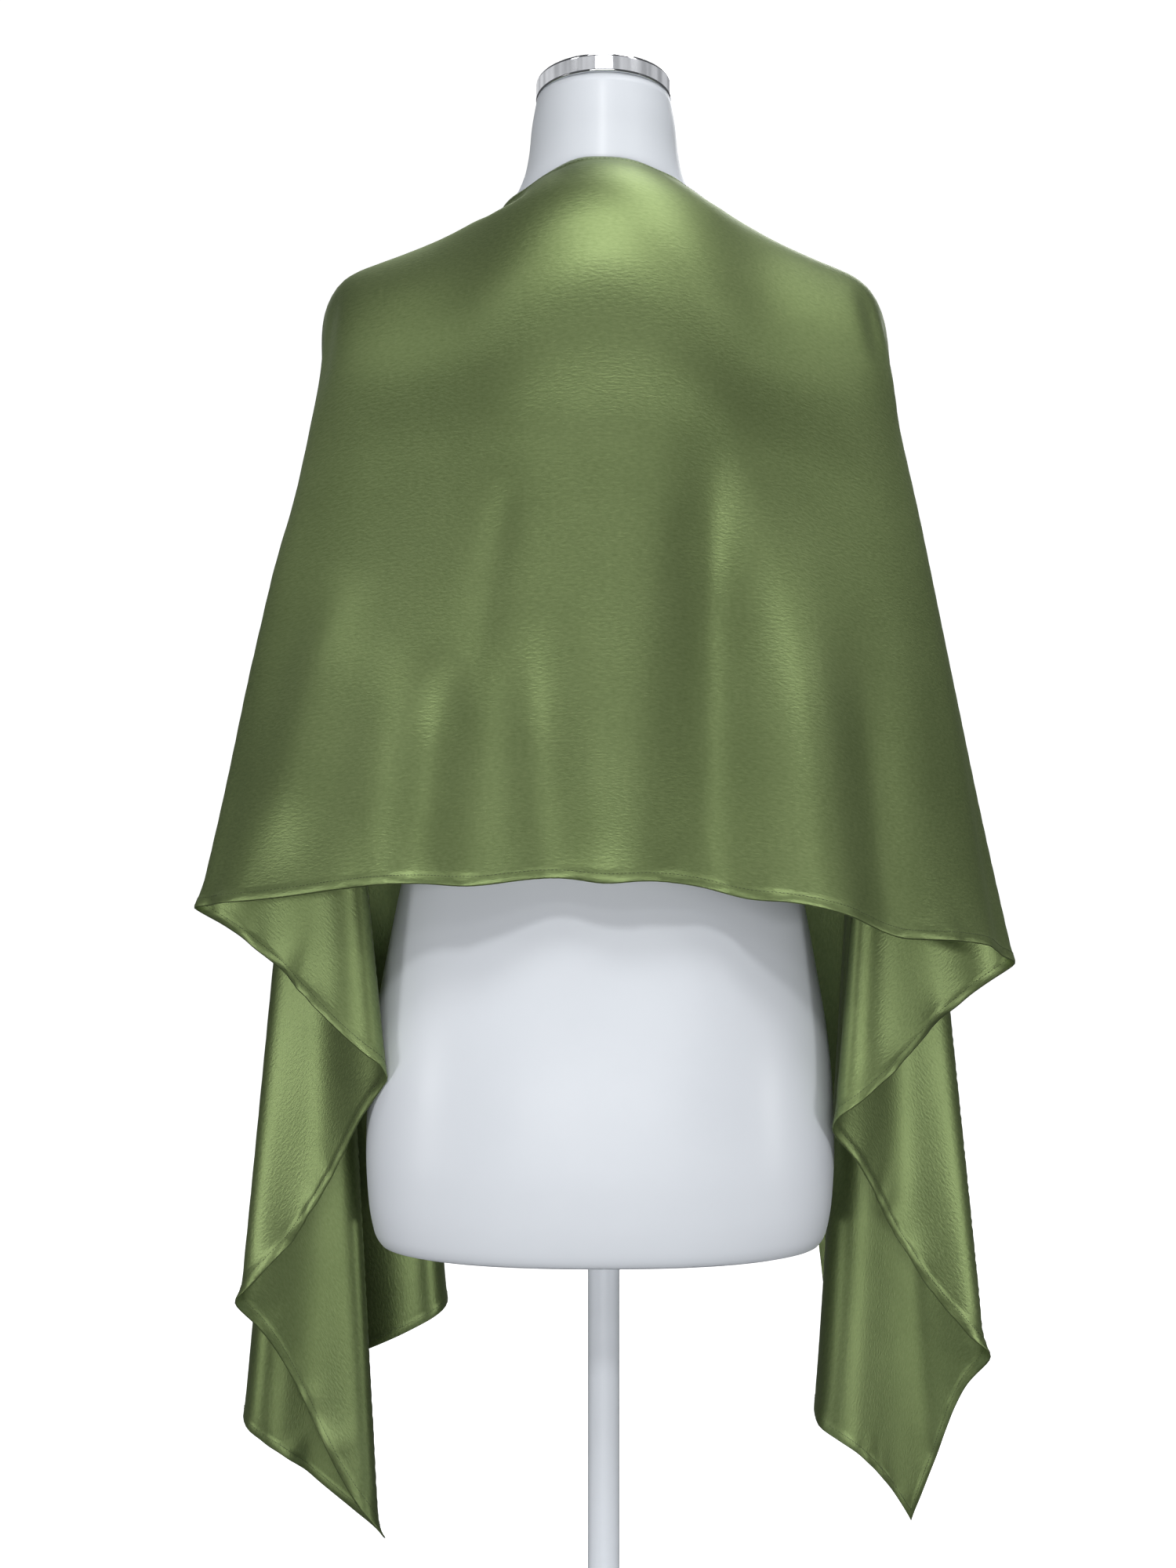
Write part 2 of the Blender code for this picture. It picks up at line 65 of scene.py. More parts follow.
camera_x = (PHOTO_SIZE[0] / 2 - FORM_MIDDLE_PIXEL) * CAMERA_DISTANCE / FOCAL_PIXELS
camera_data = bpy.data.cameras.new("photo_camera")
camera_data.sensor_width = SENSOR
camera_data.lens = SENSOR * FOCAL_PIXELS / PHOTO_SIZE[1]
camera_data.clip_start, camera_data.clip_end = NEAR_AND_FAR
camera = bpy.data.objects.new("photo_camera", camera_data)
camera.location = (camera_x, -CAMERA_DISTANCE, CAMERA_HEIGHT)
camera.rotation_euler = (math.radians(90), 0, 0)
bpy.context.scene.collection.objects.link(camera)
bpy.context.scene.camera = camera
print("camera lens", round(camera_data.lens, 1), "mm at", [round(value, 3) for value in camera.location])

# %% [markdown]
# ## Helpers for meshes and materials
# Every piece below is built from plain lists of points and faces, and every finish is a small
# network of shader nodes. Both could be written out each time, but a few short helpers keep the
# later cells readable.


# %% Mesh helpers
def make_piece(name, points, faces, material):
    mesh = bpy.data.meshes.new(name)
    mesh.from_pydata([tuple(point) for point in np.asarray(points, float).tolist()], [], faces)
    mesh.polygons.foreach_set("use_smooth", [True] * len(mesh.polygons))
    mesh.materials.append(material)
    piece = bpy.data.objects.new(name, mesh)
    bpy.context.scene.collection.objects.link(piece)
    return piece


# Turn every face of a closed piece outward
def face_outward(piece):
    builder = bmesh.new()
    builder.from_mesh(piece.data)
    bmesh.ops.recalc_face_normals(builder, faces=builder.faces)
    builder.to_mesh(piece.data)
    builder.free()


# %% Material helpers
class Finish:
    """A material with its shader, and short ways to add and join nodes."""

    def __init__(self, name):
        self.material = bpy.data.materials.new(name)
        self.material.use_nodes = True
        self.tree = self.material.node_tree
        self.shader = self.tree.nodes["Principled BSDF"]

    def node(self, kind, **settings):
        made = self.tree.nodes.new(kind)
        for key, value in settings.items():
            setattr(made, key, value)
        return made

    def join(self, start, end):
        self.tree.links.new(start, end)

    def set(self, **sockets):
        for name, value in sockets.items():
            self.shader.inputs[name.replace("_", " ")].default_value = value

    def noise(self, vector, scale, detail=3.0, roughness=0.5):
        made = self.node("ShaderNodeTexNoise")
        made.inputs["Scale"].default_value = scale
        made.inputs["Detail"].default_value = detail
        made.inputs["Roughness"].default_value = roughness
        self.join(vector, made.inputs["Vector"])
        return made.outputs["Fac"]

    def ramp(self, value, stops):
        made = self.node("ShaderNodeValToRGB")
        while len(made.color_ramp.elements) < len(stops):
            made.color_ramp.elements.new(0.5)
        for element, (place, colour) in zip(made.color_ramp.elements, stops):
            element.position = place
            element.color = (*colour, 1.0)
        self.join(value, made.inputs["Fac"])
        return made.outputs["Color"]

    def spread(self, value, low, high):
        made = self.node("ShaderNodeMapRange")
        made.inputs["To Min"].default_value = low
        made.inputs["To Max"].default_value = high
        self.join(value, made.inputs["Value"])
        return made.outputs["Result"]

    def bump(self, height, distance, strength):
        made = self.node("ShaderNodeBump")
        made.inputs["Distance"].default_value = distance
        made.inputs["Strength"].default_value = strength
        self.join(height, made.inputs["Height"])
        return made.outputs["Normal"]


# %% [markdown]
# ## The green satin
# Satin weave lets long warp threads float over many weft threads, so the cloth is smooth one way
# and finely ribbed the other. That gives a soft highlight that is wider across the threads than
# along them. A picture of cloth could be laid on, but a few nodes need no picture and stay sharp
# from near and far. The shader's anisotropy stretches the highlight, with its tangent taken from
# the cloth's own UV map, which is laid out in metres of the flat stole. A fine grain and faint
# clouds of tone keep the large back from looking like plastic.

# %% Satin
SATIN_MID = (0.202, 0.264, 0.106)
SATIN_DARK = (0.152, 0.205, 0.077)
SATIN_LIGHT = (0.254, 0.322, 0.138)
THREADS_PER_METRE = (260.0, 620.0, 1.0)
CLOUDS_PER_METRE = 9.0
GRAIN_SHARE = 0.55
GRAIN_DEPTH = 0.00022

satin = Finish("green_satin")
satin.set(Metallic=0.88, Anisotropic=0.45)
satin.shader.inputs["Specular IOR Level"].default_value = 0.35
satin.shader.inputs["Sheen Weight"].default_value = 0.03
satin.shader.inputs["Coat Weight"].default_value = 0.12
satin.shader.inputs["Coat Roughness"].default_value = 0.40
satin.shader.inputs["Sheen Roughness"].default_value = 0.45
satin.shader.inputs["Sheen Tint"].default_value = (0.80, 0.95, 0.62, 1.0)
cut_map = satin.node("ShaderNodeUVMap", uv_map="cut")
threads = satin.node("ShaderNodeMapping")
threads.inputs["Scale"].default_value = THREADS_PER_METRE
satin.join(cut_map.outputs["UV"], threads.inputs["Vector"])
grain = satin.noise(threads.outputs["Vector"], 1.0, 2.0, 0.6)
clouds = satin.noise(cut_map.outputs["UV"], CLOUDS_PER_METRE, 4.0, 0.55)
tone = satin.node("ShaderNodeMath", operation="MULTIPLY_ADD")
satin.join(grain, tone.inputs[0])
tone.inputs[1].default_value = GRAIN_SHARE
cloud_share = satin.node("ShaderNodeMath", operation="MULTIPLY")
satin.join(clouds, cloud_share.inputs[0])
cloud_share.inputs[1].default_value = 1 - GRAIN_SHARE
satin.join(cloud_share.outputs["Value"], tone.inputs[2])
green = satin.ramp(tone.outputs["Value"], ((0.25, SATIN_DARK), (0.5, SATIN_MID), (0.75, SATIN_LIGHT)))
satin.join(green, satin.shader.inputs["Base Color"])
satin.join(satin.spread(grain, 0.42, 0.49), satin.shader.inputs["Roughness"])
satin.join(satin.bump(grain, GRAIN_DEPTH, 0.8), satin.shader.inputs["Normal"])
warp_tangent = satin.node("ShaderNodeTangent", direction_type="UV_MAP", uv_map="cut")
satin.join(warp_tangent.outputs["Tangent"], satin.shader.inputs["Tangent"])
print("satin nodes:", len(satin.tree.nodes))

# %% [markdown]
# ## Thread, enamel and chrome
# The hem is sewn with a thread of the cloth's own colour, a little darker and duller. The form is a
# moulded shell with a pale, slightly blue enamel that is smooth but not mirror-like, with very faint
# handling marks. The cap is bright chrome, with a hint of polishing haze. Such marks could be
# painted, but a noise that reads the place on the object has no seams and needs no UV map.

# %% Thread
THREAD_DARK = (0.045, 0.062, 0.024)
THREAD_LIGHT = (0.080, 0.105, 0.045)

thread = Finish("hem_thread")
thread.set(Roughness=0.62)
thread_place = thread.node("ShaderNodeTexCoord").outputs["Object"]
twist = thread.noise(thread_place, 400.0)
thread.join(thread.ramp(twist, ((0.3, THREAD_DARK), (0.7, THREAD_LIGHT))), thread.shader.inputs["Base Color"])
print("thread nodes:", len(thread.tree.nodes))

# %% Enamel
ENAMEL_DARK = (0.800, 0.840, 0.895)
ENAMEL_LIGHT = (0.830, 0.868, 0.920)

enamel = Finish("white_enamel")
enamel.shader.inputs["Coat Weight"].default_value = 0.12
enamel.shader.inputs["Coat Roughness"].default_value = 0.22
enamel_place = enamel.node("ShaderNodeTexCoord").outputs["Object"]
marks = enamel.noise(enamel_place, 7.0, 5.0, 0.6)
white = enamel.ramp(marks, ((0.30, ENAMEL_DARK), (0.70, ENAMEL_LIGHT)))
enamel.join(white, enamel.shader.inputs["Base Color"])
wear = enamel.noise(enamel_place, 23.0, 4.0)
enamel.join(enamel.spread(wear, 0.42, 0.50), enamel.shader.inputs["Roughness"])
ripple = enamel.noise(enamel_place, 60.0, 2.0)
enamel.join(enamel.bump(ripple, 0.00004, 0.4), enamel.shader.inputs["Normal"])
print("enamel nodes:", len(enamel.tree.nodes))

# %% Chrome
CHROME_DARK = (0.80, 0.81, 0.83)
CHROME_LIGHT = (0.88, 0.89, 0.91)

chrome = Finish("chrome")
chrome.set(Metallic=1.0)
chrome_place = chrome.node("ShaderNodeTexCoord").outputs["Object"]
haze = chrome.noise(chrome_place, 90.0, 3.0)
chrome.join(chrome.ramp(haze, ((0.3, CHROME_DARK), (0.7, CHROME_LIGHT))), chrome.shader.inputs["Base Color"])
chrome.join(chrome.spread(haze, 0.05, 0.12), chrome.shader.inputs["Roughness"])
print("chrome nodes:", len(chrome.tree.nodes))

# %% [markdown]
# ## The cut of the stole and how it hangs
# The stole is one rectangle. From the neck edge and the shoulder line it hangs in straight lines:
# down the back, in a fan round each shoulder tip, and down the front. A cloth simulation would find
# some drape, but not the one in the picture, so each of these lines is placed one by one. A table
# gives the place on the edge of the cut where the line ends, how the body carries it outward and
# back or forward, and where it ends in plan. The outer edge of the fan swings in and out, and that
# makes the zigzag of the two falls. The tables are nearly the part's own, so the fine cloth follows
# its solids; only the lower corner of the right fall lies flatter here, as in the picture.

# %% Sizes and tables of the drape
CLOTH_WIDTH = 0.50
HEM_WIDTH = 0.007
NAPE_Y = -0.060
NAPE_Z = 1.0524
NECK_POINT_Z = 1.0263
NECK_RISE_POWER = 3.5
SHOULDER_TIP_OUT = 0.176
SHOULDER_TIP_DROP = 0.0015
SIDE_SHAPES = {
    "left": {"sign": -1.0, "length": 1.016, "neck_out": 0.075, "neck_u": 0.1065,
             "tip_u": 0.2035, "tip_v": 0.050, "shoulder_drop": 0.0410},
    "right": {"sign": 1.0, "length": 0.990, "neck_out": 0.0815, "neck_u": 0.1120,
              "tip_u": 0.2126, "tip_v": 0.030, "shoulder_drop": 0.0445},
}
LINE_COLUMNS = ("name", "cut", "carry_out", "carry_y", "over", "hem_out", "hem_y", "settle")
LEFT_LINES = (
    ("nape", 0.000, 0.000, -0.048, 0.100, 0.000, -0.119, 0.008),
    ("nape_side", 0.060, 0.005, -0.074, 0.150, 0.060, -0.118, -0.004),
    ("blade", 0.1065, 0.012, -0.092, 0.190, 0.105, -0.117, 0.004),
    ("shoulder", 0.2035, 0.010, -0.055, 0.112, 0.185, -0.103, 0.004),
    ("near_a", 0.270, 0.012, -0.040, 0.085, 0.250, -0.070, 0.002),
    ("a", 0.3150, 0.012, -0.034, 0.074, 0.280, -0.038, 0.000),
    ("b", 0.5450, 0.018, -0.018, 0.052, 0.1417, -0.060, 0.000),
    ("c", 0.7850, 0.022, 0.010, 0.050, 0.264, 0.030, 0.000),
    ("d", 1.0100, 0.022, 0.034, 0.080, 0.158, 0.085, 0.000),
    ("e", 1.1980, 0.018, 0.056, 0.120, 0.269, 0.112, 0.000),
    ("f", 1.3750, -0.020, 0.110, 0.240, 0.117, 0.150, -0.022),
    ("chest", 1.4660, -0.005, 0.115, 0.240, 0.178, 0.166, -0.014),
    ("g", 1.5160, 0.002, 0.130, 0.260, 0.215, 0.172, -0.010),
)
RIGHT_LINES = (
    ("nape", 0.000, 0.000, -0.048, 0.100, 0.000, -0.119, 0.008),
    ("nape_side", 0.060, 0.005, -0.074, 0.150, 0.060, -0.118, 0.000),
    ("blade", 0.1120, 0.012, -0.092, 0.190, 0.110, -0.117, 0.014),
    ("shoulder", 0.2126, 0.010, -0.055, 0.112, 0.192, -0.103, 0.010),
    ("near_a", 0.325, 0.012, -0.040, 0.085, 0.262, -0.060, 0.002),
    ("a", 0.3770, 0.012, -0.034, 0.074, 0.284, -0.030, 0.000),
    ("b", 0.5770, 0.018, -0.018, 0.052, 0.1510, -0.055, 0.000),
    ("c", 0.8300, 0.028, 0.010, 0.056, 0.278, 0.032, 0.000),
    ("corner", 0.9850, 0.026, 0.034, 0.080, 0.226, 0.066, 0.000),
    ("e", 1.1440, 0.018, 0.052, 0.110, 0.154, 0.092, 0.000),
    ("f", 1.3200, 0.010, 0.085, 0.180, 0.250, 0.132, -0.010),
    ("chest", 1.4600, -0.002, 0.115, 0.240, 0.190, 0.160, -0.012),
    ("g", 1.4900, 0.000, 0.130, 0.260, 0.172, 0.166, -0.012),
)
# Half round turns at the folds, and how much of the cut each needs for a radius
FOLD_RADII = {"a": 0.013, "b": 0.013, "c": 0.015, "d": 0.012, "e": 0.026, "f": 0.028}
FOLD_TURNS = (-1.0, -0.5, 0.0, 0.5, 1.0)
FOLD_RUN = 1.5
# How far down a line the folds begin, how softly, and the least share of a step that goes down
FOLD_START = 0.042
FOLD_SOFTNESS = 0.06
LEAST_DROP = 0.12

STOLE_LENGTH = SIDE_SHAPES["left"]["length"] + SIDE_SHAPES["right"]["length"]
print("cut of the stole:", round(STOLE_LENGTH, 3), "by", CLOTH_WIDTH, "m")


# %% Smooth values between the rows of a table
def between_rows(knots, values, at):
    knots = np.asarray(knots, float)
    values = np.asarray(values, float)
    step = np.diff(knots)
    slope = np.diff(values) / step
    tangent = np.zeros(len(knots))
    tangent[0] = slope[0]
    tangent[-1] = slope[-1]
    for row in range(1, len(knots) - 1):
        before, after = slope[row - 1], slope[row]
        if before * after > 0:
            tangent[row] = 2 * before * after / (before + after)
    at = np.clip(at, knots[0], knots[-1])
    row = np.clip(np.searchsorted(knots, at, side="right") - 1, 0, len(step) - 1)
    part = (at - knots[row]) / step[row]
    start = (1 + 2 * part) * (1 - part) ** 2 * values[row]
    end = part ** 2 * (3 - 2 * part) * values[row + 1]
    lean_in = part * (1 - part) ** 2 * step[row] * tangent[row]
    lean_out = part ** 2 * (1 - part) * step[row] * tangent[row + 1]
    return start + end + lean_in - lean_out


# %% Plan of the hem, where each fold is a half round turn between two straight runs
def hem_plan(lines):
    knots, outs, ys = [], [], []
    for number, row in enumerate(lines):
        name, cut, hem_out, hem_y = row[0], row[1], row[5], row[6]
        radius = FOLD_RADII.get(name)
        if radius is None:
            knots.append(cut)
            outs.append(hem_out)
            ys.append(hem_y)
            continue
        inward = 1.0 if hem_out < lines[number - 1][5] else -1.0
        for turn in FOLD_TURNS:
            angle = turn * math.pi / 2
            knots.append(cut + turn * radius * FOLD_RUN)
            outs.append(hem_out + inward * radius * (1 - math.cos(angle)))
            ys.append(hem_y + radius * math.sin(angle))
    return np.array(knots), np.array(outs), np.array(ys)


# %% One half of the stole
class DrapedSide:
    """One half of the stole, from the middle of the back to its end."""

    def __init__(self, side, lines):
        self.shape = SIDE_SHAPES[side]
        self.lines = lines
        self.cuts = self.column("cut")
        self.hem = hem_plan(lines)

    def column(self, name):
        return [row[LINE_COLUMNS.index(name)] for row in self.lines]

    # The hanging line through a point of the flat stole: its end on the edge, length and place on it
    def line_of(self, u, v):
        shape = self.shape
        length, tip_u, tip_v, neck_u = shape["length"], shape["tip_u"], shape["tip_v"], shape["neck_u"]
        ridge_v = np.clip((u - neck_u) / (tip_u - neck_u), 0, 1) * tip_v
        ridge_u = neck_u + np.clip(v / tip_v, 0, 1) * (tip_u - neck_u)
        on_back = (u <= tip_u) & (v >= ridge_v)
        on_front = ~on_back & (v <= tip_v)
        aside = np.maximum(u - tip_u, 0)
        down = np.maximum(v - tip_v, 0)
        angle = np.arctan2(aside, down)
        corner = math.atan2(length - tip_u, CLOTH_WIDTH - tip_v)
        to_hem = angle <= corner
        to_end = length + CLOTH_WIDTH - tip_v - (length - tip_u) / np.tan(np.maximum(angle, corner))
        fan_cut = np.where(to_hem, tip_u + (CLOTH_WIDTH - tip_v) * np.tan(np.minimum(angle, corner)), to_end)
        cut = np.where(on_back, u, np.where(on_front, length + CLOTH_WIDTH - v, fan_cut))
        place = np.where(on_back, v - ridge_v, np.where(on_front, u - ridge_u, np.hypot(aside, down)))
        end_u = np.minimum(cut, length)
        end_v = np.where(cut <= length, CLOTH_WIDTH, length + CLOTH_WIDTH - cut)
        fan_whole = np.hypot(end_u - tip_u, end_v - tip_v)
        whole = np.where(on_back, CLOTH_WIDTH - ridge_v, np.where(on_front, length - ridge_u, fan_whole))
        back_share = np.clip((u - neck_u) / (tip_u - neck_u), 0, 1)
        ridge_share = np.where(on_back, back_share, np.where(on_front, np.clip(v / tip_v, 0, 1), 1.0))
        neck_share = np.where(on_back, np.clip(u / neck_u, 0, 1), 1.0)
        return cut, place, whole, ridge_share, neck_share

    # Start of a hanging line on the neck edge or on the shoulder line
    def top_of(self, ridge_share, neck_share):
        shape = self.shape
        turn = neck_share * math.pi / 2
        on_ridge = shape["neck_out"] + (SHOULDER_TIP_OUT - shape["neck_out"]) * ridge_share
        out = np.where(neck_share < 1, shape["neck_out"] * np.sin(turn), on_ridge)
        y = np.where(neck_share < 1, NAPE_Y * np.cos(turn), 0.0)
        rise = (NAPE_Z - NECK_POINT_Z) * np.abs(np.cos(turn)) ** NECK_RISE_POWER
        fall = shape["shoulder_drop"] * ridge_share + SHOULDER_TIP_DROP * ridge_share ** 6
        return out, y, NECK_POINT_Z + np.where(neck_share < 1, rise, -fall)

    # Place in space of points of the flat stole
    def place(self, u, v, steps=48):
        cut, place, whole, ridge_share, neck_share = self.line_of(u, v)
        top_out, top_y, top_z = self.top_of(ridge_share, neck_share)
        carry_out = between_rows(self.cuts, self.column("carry_out"), cut)
        carry_y = between_rows(self.cuts, self.column("carry_y"), cut)
        over = between_rows(self.cuts, self.column("over"), cut)
        hem_out = between_rows(self.hem[0], self.hem[1], cut)
        hem_y = between_rows(self.hem[0], self.hem[2], cut)
        settle = between_rows(self.cuts, self.column("settle"), cut)
        ease_out = hem_out - top_out - carry_out
        ease_y = hem_y - top_y - carry_y

        def plan(run):
            carried = 1 - (1 - np.clip(run / over, 0, 1)) ** 2
            share = np.clip((run - FOLD_START) / (whole - FOLD_START), 0, None)
            eased = share ** 2 / (share + FOLD_SOFTNESS) * (1 + FOLD_SOFTNESS)
            return carry_out * carried + ease_out * eased, carry_y * carried + ease_y * eased

        drop = np.zeros_like(u)
        last_out, last_y = plan(np.zeros_like(u))
        for step in range(1, steps + 1):
            out, y = plan(place * step / steps)
            stride = place / steps
            level = np.hypot(out - last_out, y - last_y)
            drop += np.sqrt(np.maximum(stride ** 2 - level ** 2, (LEAST_DROP * stride) ** 2))
            last_out, last_y = out, y
        x = self.shape["sign"] * (top_out + last_out)
        return np.stack([x, top_y + last_y, top_z - drop - settle * (place / whole)], axis=-1)


halves = {"left": DrapedSide("left", LEFT_LINES), "right": DrapedSide("right", RIGHT_LINES)}
corner_low = halves["left"].place(np.array([SIDE_SHAPES["left"]["length"]]), np.array([CLOTH_WIDTH]))[0]
print("lowest corner of the left fall:", [round(float(value), 3) for value in corner_low])

# %% [markdown]
# ## The dress form
# A display form is a hollow moulded torso. It could be sculpted, but a stack of level sections can
# be read straight off the picture: each is a rounded oval with its own half width and its own reach
# to the front and to the back. The solids have few sections, so here the same table is read at many
# heights, and the form comes out smooth. The neck leans forward a little, so its top and the cap
# are tilted.

# %% Table of the form
# Height, half width, reach to the front, reach to the back, squareness
FORM_SECTIONS = (
    (0.3100, 0.1440, 0.0930, 0.0900, 2.3),
    (0.3125, 0.1520, 0.1000, 0.0970, 2.3),
    (0.3220, 0.1572, 0.1052, 0.1000, 2.3),
    (0.3450, 0.1610, 0.1090, 0.1030, 2.3),
    (0.3750, 0.1625, 0.1110, 0.1050, 2.3),
    (0.4150, 0.1615, 0.1110, 0.1055, 2.3),
    (0.4550, 0.1580, 0.1080, 0.1040, 2.3),
    (0.5000, 0.1505, 0.1030, 0.0990, 2.3),
    (0.5500, 0.1410, 0.0970, 0.0910, 2.3),
    (0.6000, 0.1310, 0.0930, 0.0840, 2.3),
    (0.6450, 0.1250, 0.0920, 0.0770, 2.3),
    (0.6900, 0.1235, 0.0940, 0.0770, 2.3),
    (0.7400, 0.1300, 0.0990, 0.0840, 2.3),
    (0.7900, 0.1420, 0.1040, 0.0930, 2.4),
    (0.8350, 0.1530, 0.1030, 0.0990, 2.4),
    (0.8750, 0.1640, 0.0950, 0.1000, 2.3),
    (0.9080, 0.1740, 0.0830, 0.0960, 2.1),
    (0.9350, 0.1790, 0.0700, 0.0880, 1.9),
    (0.9550, 0.1800, 0.0590, 0.0790, 1.8),
    (0.9700, 0.1770, 0.0510, 0.0710, 1.7),
    (0.9800, 0.1700, 0.0470, 0.0660, 1.6),
    (0.9880, 0.1580, 0.0450, 0.0620, 1.5),
    (0.9960, 0.1370, 0.0440, 0.0590, 1.5),
    (1.0050, 0.1120, 0.0440, 0.0570, 1.6),
    (1.0140, 0.0900, 0.0450, 0.0550, 1.7),
    (1.0230, 0.0745, 0.0460, 0.0545, 1.9),
    (1.0320, 0.0660, 0.0475, 0.0540, 2.0),
    (1.0420, 0.0595, 0.0480, 0.0530, 2.0),
    (1.0550, 0.0545, 0.0480, 0.0515, 2.0),
    (1.0700, 0.0518, 0.0475, 0.0495, 2.0),
    (1.0860, 0.0503, 0.0470, 0.0480, 2.0),
    (1.1065, 0.0468, 0.0455, 0.0455, 2.0),
)
# The hips sit a little to one side in the picture: how far, from which height down, over what run
HIP_SHIFT = -0.0025
HIP_SHIFT_TOP = 0.80
HIP_SHIFT_RUN = 0.30
BUST_OUT = 0.078
BUST_Z = 0.835
BUST_SIZE = 0.024
BUST_SPREAD = 0.052
NECK_TILT = math.radians(10.0)
NECK_TILT_START = 1.030
NECK_LEAN = 0.004
FORM_SEGMENTS = 144
FORM_RINGS_BETWEEN = 4
print("form sections:", len(FORM_SECTIONS), "up to", FORM_SECTIONS[-1][0], "m")


# %% Smooth form
def form_point(section, angle):
    height, half_width, front, back, squareness = section
    cosine, sine = math.cos(angle), math.sin(angle)
    out = half_width * math.copysign(abs(cosine) ** (2 / squareness), cosine)
    reach = front if sine > 0 else back
    y = reach * math.copysign(abs(sine) ** (2 / squareness), sine)
    if sine > 0:
        spread = ((abs(out) - BUST_OUT) / BUST_SPREAD) ** 2 + ((height - BUST_Z) / BUST_SPREAD) ** 2
        y += BUST_SIZE * math.exp(-spread) * sine
    share = max(0.0, height - NECK_TILT_START) / (FORM_SECTIONS[-1][0] - NECK_TILT_START)
    y += NECK_LEAN * share
    hip_share = min(1.0, max(0.0, (HIP_SHIFT_TOP - height) / HIP_SHIFT_RUN))
    return (out + HIP_SHIFT * hip_share, y, height - y * math.tan(NECK_TILT) * share)


def fine_sections():
    heights = [section[0] for section in FORM_SECTIONS]
    fine = []
    for low, high in zip(heights, heights[1:]):
        fine += [low + (high - low) * step / FORM_RINGS_BETWEEN for step in range(FORM_RINGS_BETWEEN)]
    fine.append(heights[-1])
    columns = [between_rows(heights, [section[column] for section in FORM_SECTIONS], np.array(fine))
               for column in range(1, 5)]
    return list(zip(fine, *columns))


def loft_rings(rings, count):
    faces = [tuple(reversed(range(count)))]
    for ring in range(rings - 1):
        for step in range(count):
            after = (step + 1) % count
            low, high = ring * count, (ring + 1) * count
            faces.append((low + step, low + after, high + after, high + step))
    top = (rings - 1) * count
    faces.append(tuple(range(top, top + count)))
    return faces


sections = fine_sections()
form_points = [form_point(section, 2 * math.pi * step / FORM_SEGMENTS)
               for section in sections for step in range(FORM_SEGMENTS)]
form_skin = make_piece("form_skin", form_points, loft_rings(len(sections), FORM_SEGMENTS), enamel.material)
face_outward(form_skin)
form_tree = BVHTree.FromPolygons([vertex.co.copy() for vertex in form_skin.data.vertices],
                                 [tuple(polygon.vertices) for polygon in form_skin.data.polygons])
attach(form_skin, "root")
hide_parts("form_torso")
print("form:", len(form_skin.data.polygons), "faces")

# %% [markdown]
# ## The chrome cap
# The neck ends in a shallow metal cap, pressed over the top and tilted with it. A cylinder with a
# bevel would come near it, but a turned shape gives every radius: one short profile goes round the
# neck's own axis, with a small round edge that catches a line of light. Two points close to the
# ends of the wall hold it flat, so that the chrome mirrors its surroundings without a false curve.

# %% Chrome cap
CAP_HEIGHT = 0.0125
CAP_RADIUS = 0.0472
CAP_EDGE = 0.0020
CAP_EDGE_STEPS = 6
CAP_SEGMENTS = 128
PART_GAP = 0.0004
# The foot curls in: how far inside the wall and how far up; the wall ends just under the round edge
CAP_FOOT = ((0.0012, 0.0), (0.0003, 0.0002), (0.0, 0.0010), (0.0, 0.0015))
CAP_WALL_STOP = 0.0005
# The top is slightly domed: share of the radius and rise
CAP_DOME = ((0.75, 0.0001), (0.35, 0.0002))


def cap_profile():
    bottom = FORM_SECTIONS[-1][0] + PART_GAP
    top = bottom + CAP_HEIGHT
    profile = [(CAP_RADIUS - inside, bottom + up) for inside, up in CAP_FOOT]
    profile.append((CAP_RADIUS, top - CAP_EDGE - CAP_WALL_STOP))
    for step in range(CAP_EDGE_STEPS + 1):
        turn = math.pi / 2 * step / CAP_EDGE_STEPS
        profile.append((CAP_RADIUS - CAP_EDGE * (1 - math.cos(turn)), top - CAP_EDGE * (1 - math.sin(turn))))
    return profile + [(CAP_RADIUS * share, top + rise) for share, rise in CAP_DOME]


cap_points = []
for radius, height in cap_profile():
    for step in range(CAP_SEGMENTS):
        angle = 2 * math.pi * step / CAP_SEGMENTS
        y = NECK_LEAN + radius * math.sin(angle)
        cap_points.append((radius * math.cos(angle), y, height - y * math.tan(NECK_TILT)))
cap_skin = make_piece("cap_chrome", cap_points, loft_rings(len(cap_profile()), CAP_SEGMENTS), chrome.material)
face_outward(cap_skin)
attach(cap_skin, "root")
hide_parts("neck_cap")
print("cap:", len(cap_skin.data.polygons), "faces")

# %% [markdown]
# ## The stand
# The pole and the round base carry the form. They could be turned again at a finer step, but they
# are plain and already have their right shape in the frame, so they only get the enamel.

# %% Stand finish
for node_name in ("stand_pole", "stand_base"):
    node_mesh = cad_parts[node_name].data
    node_mesh.materials.clear()
    node_mesh.materials.append(enamel.material)
print("enamelled:", "stand_pole, stand_base")

# %% [markdown]
# ## The cloth as a fine grid
# The stole is divided into a regular grid of about five millimetres, like graph paper laid on the
# flat cloth. The cloth could be modelled over the form by hand, but a grid of the cut keeps the
# threads and the hem in their places and the length close to that of the real cloth. Each grid
# point is sent to its place in the drape, and a few rounds of averaging soften the lines where
# back, fan and front meet, as real cloth would.

# %% Grid of the flat stole, placed in the drape
GRID_STEP = 0.0049
SOFTEN_ROUNDS = 6

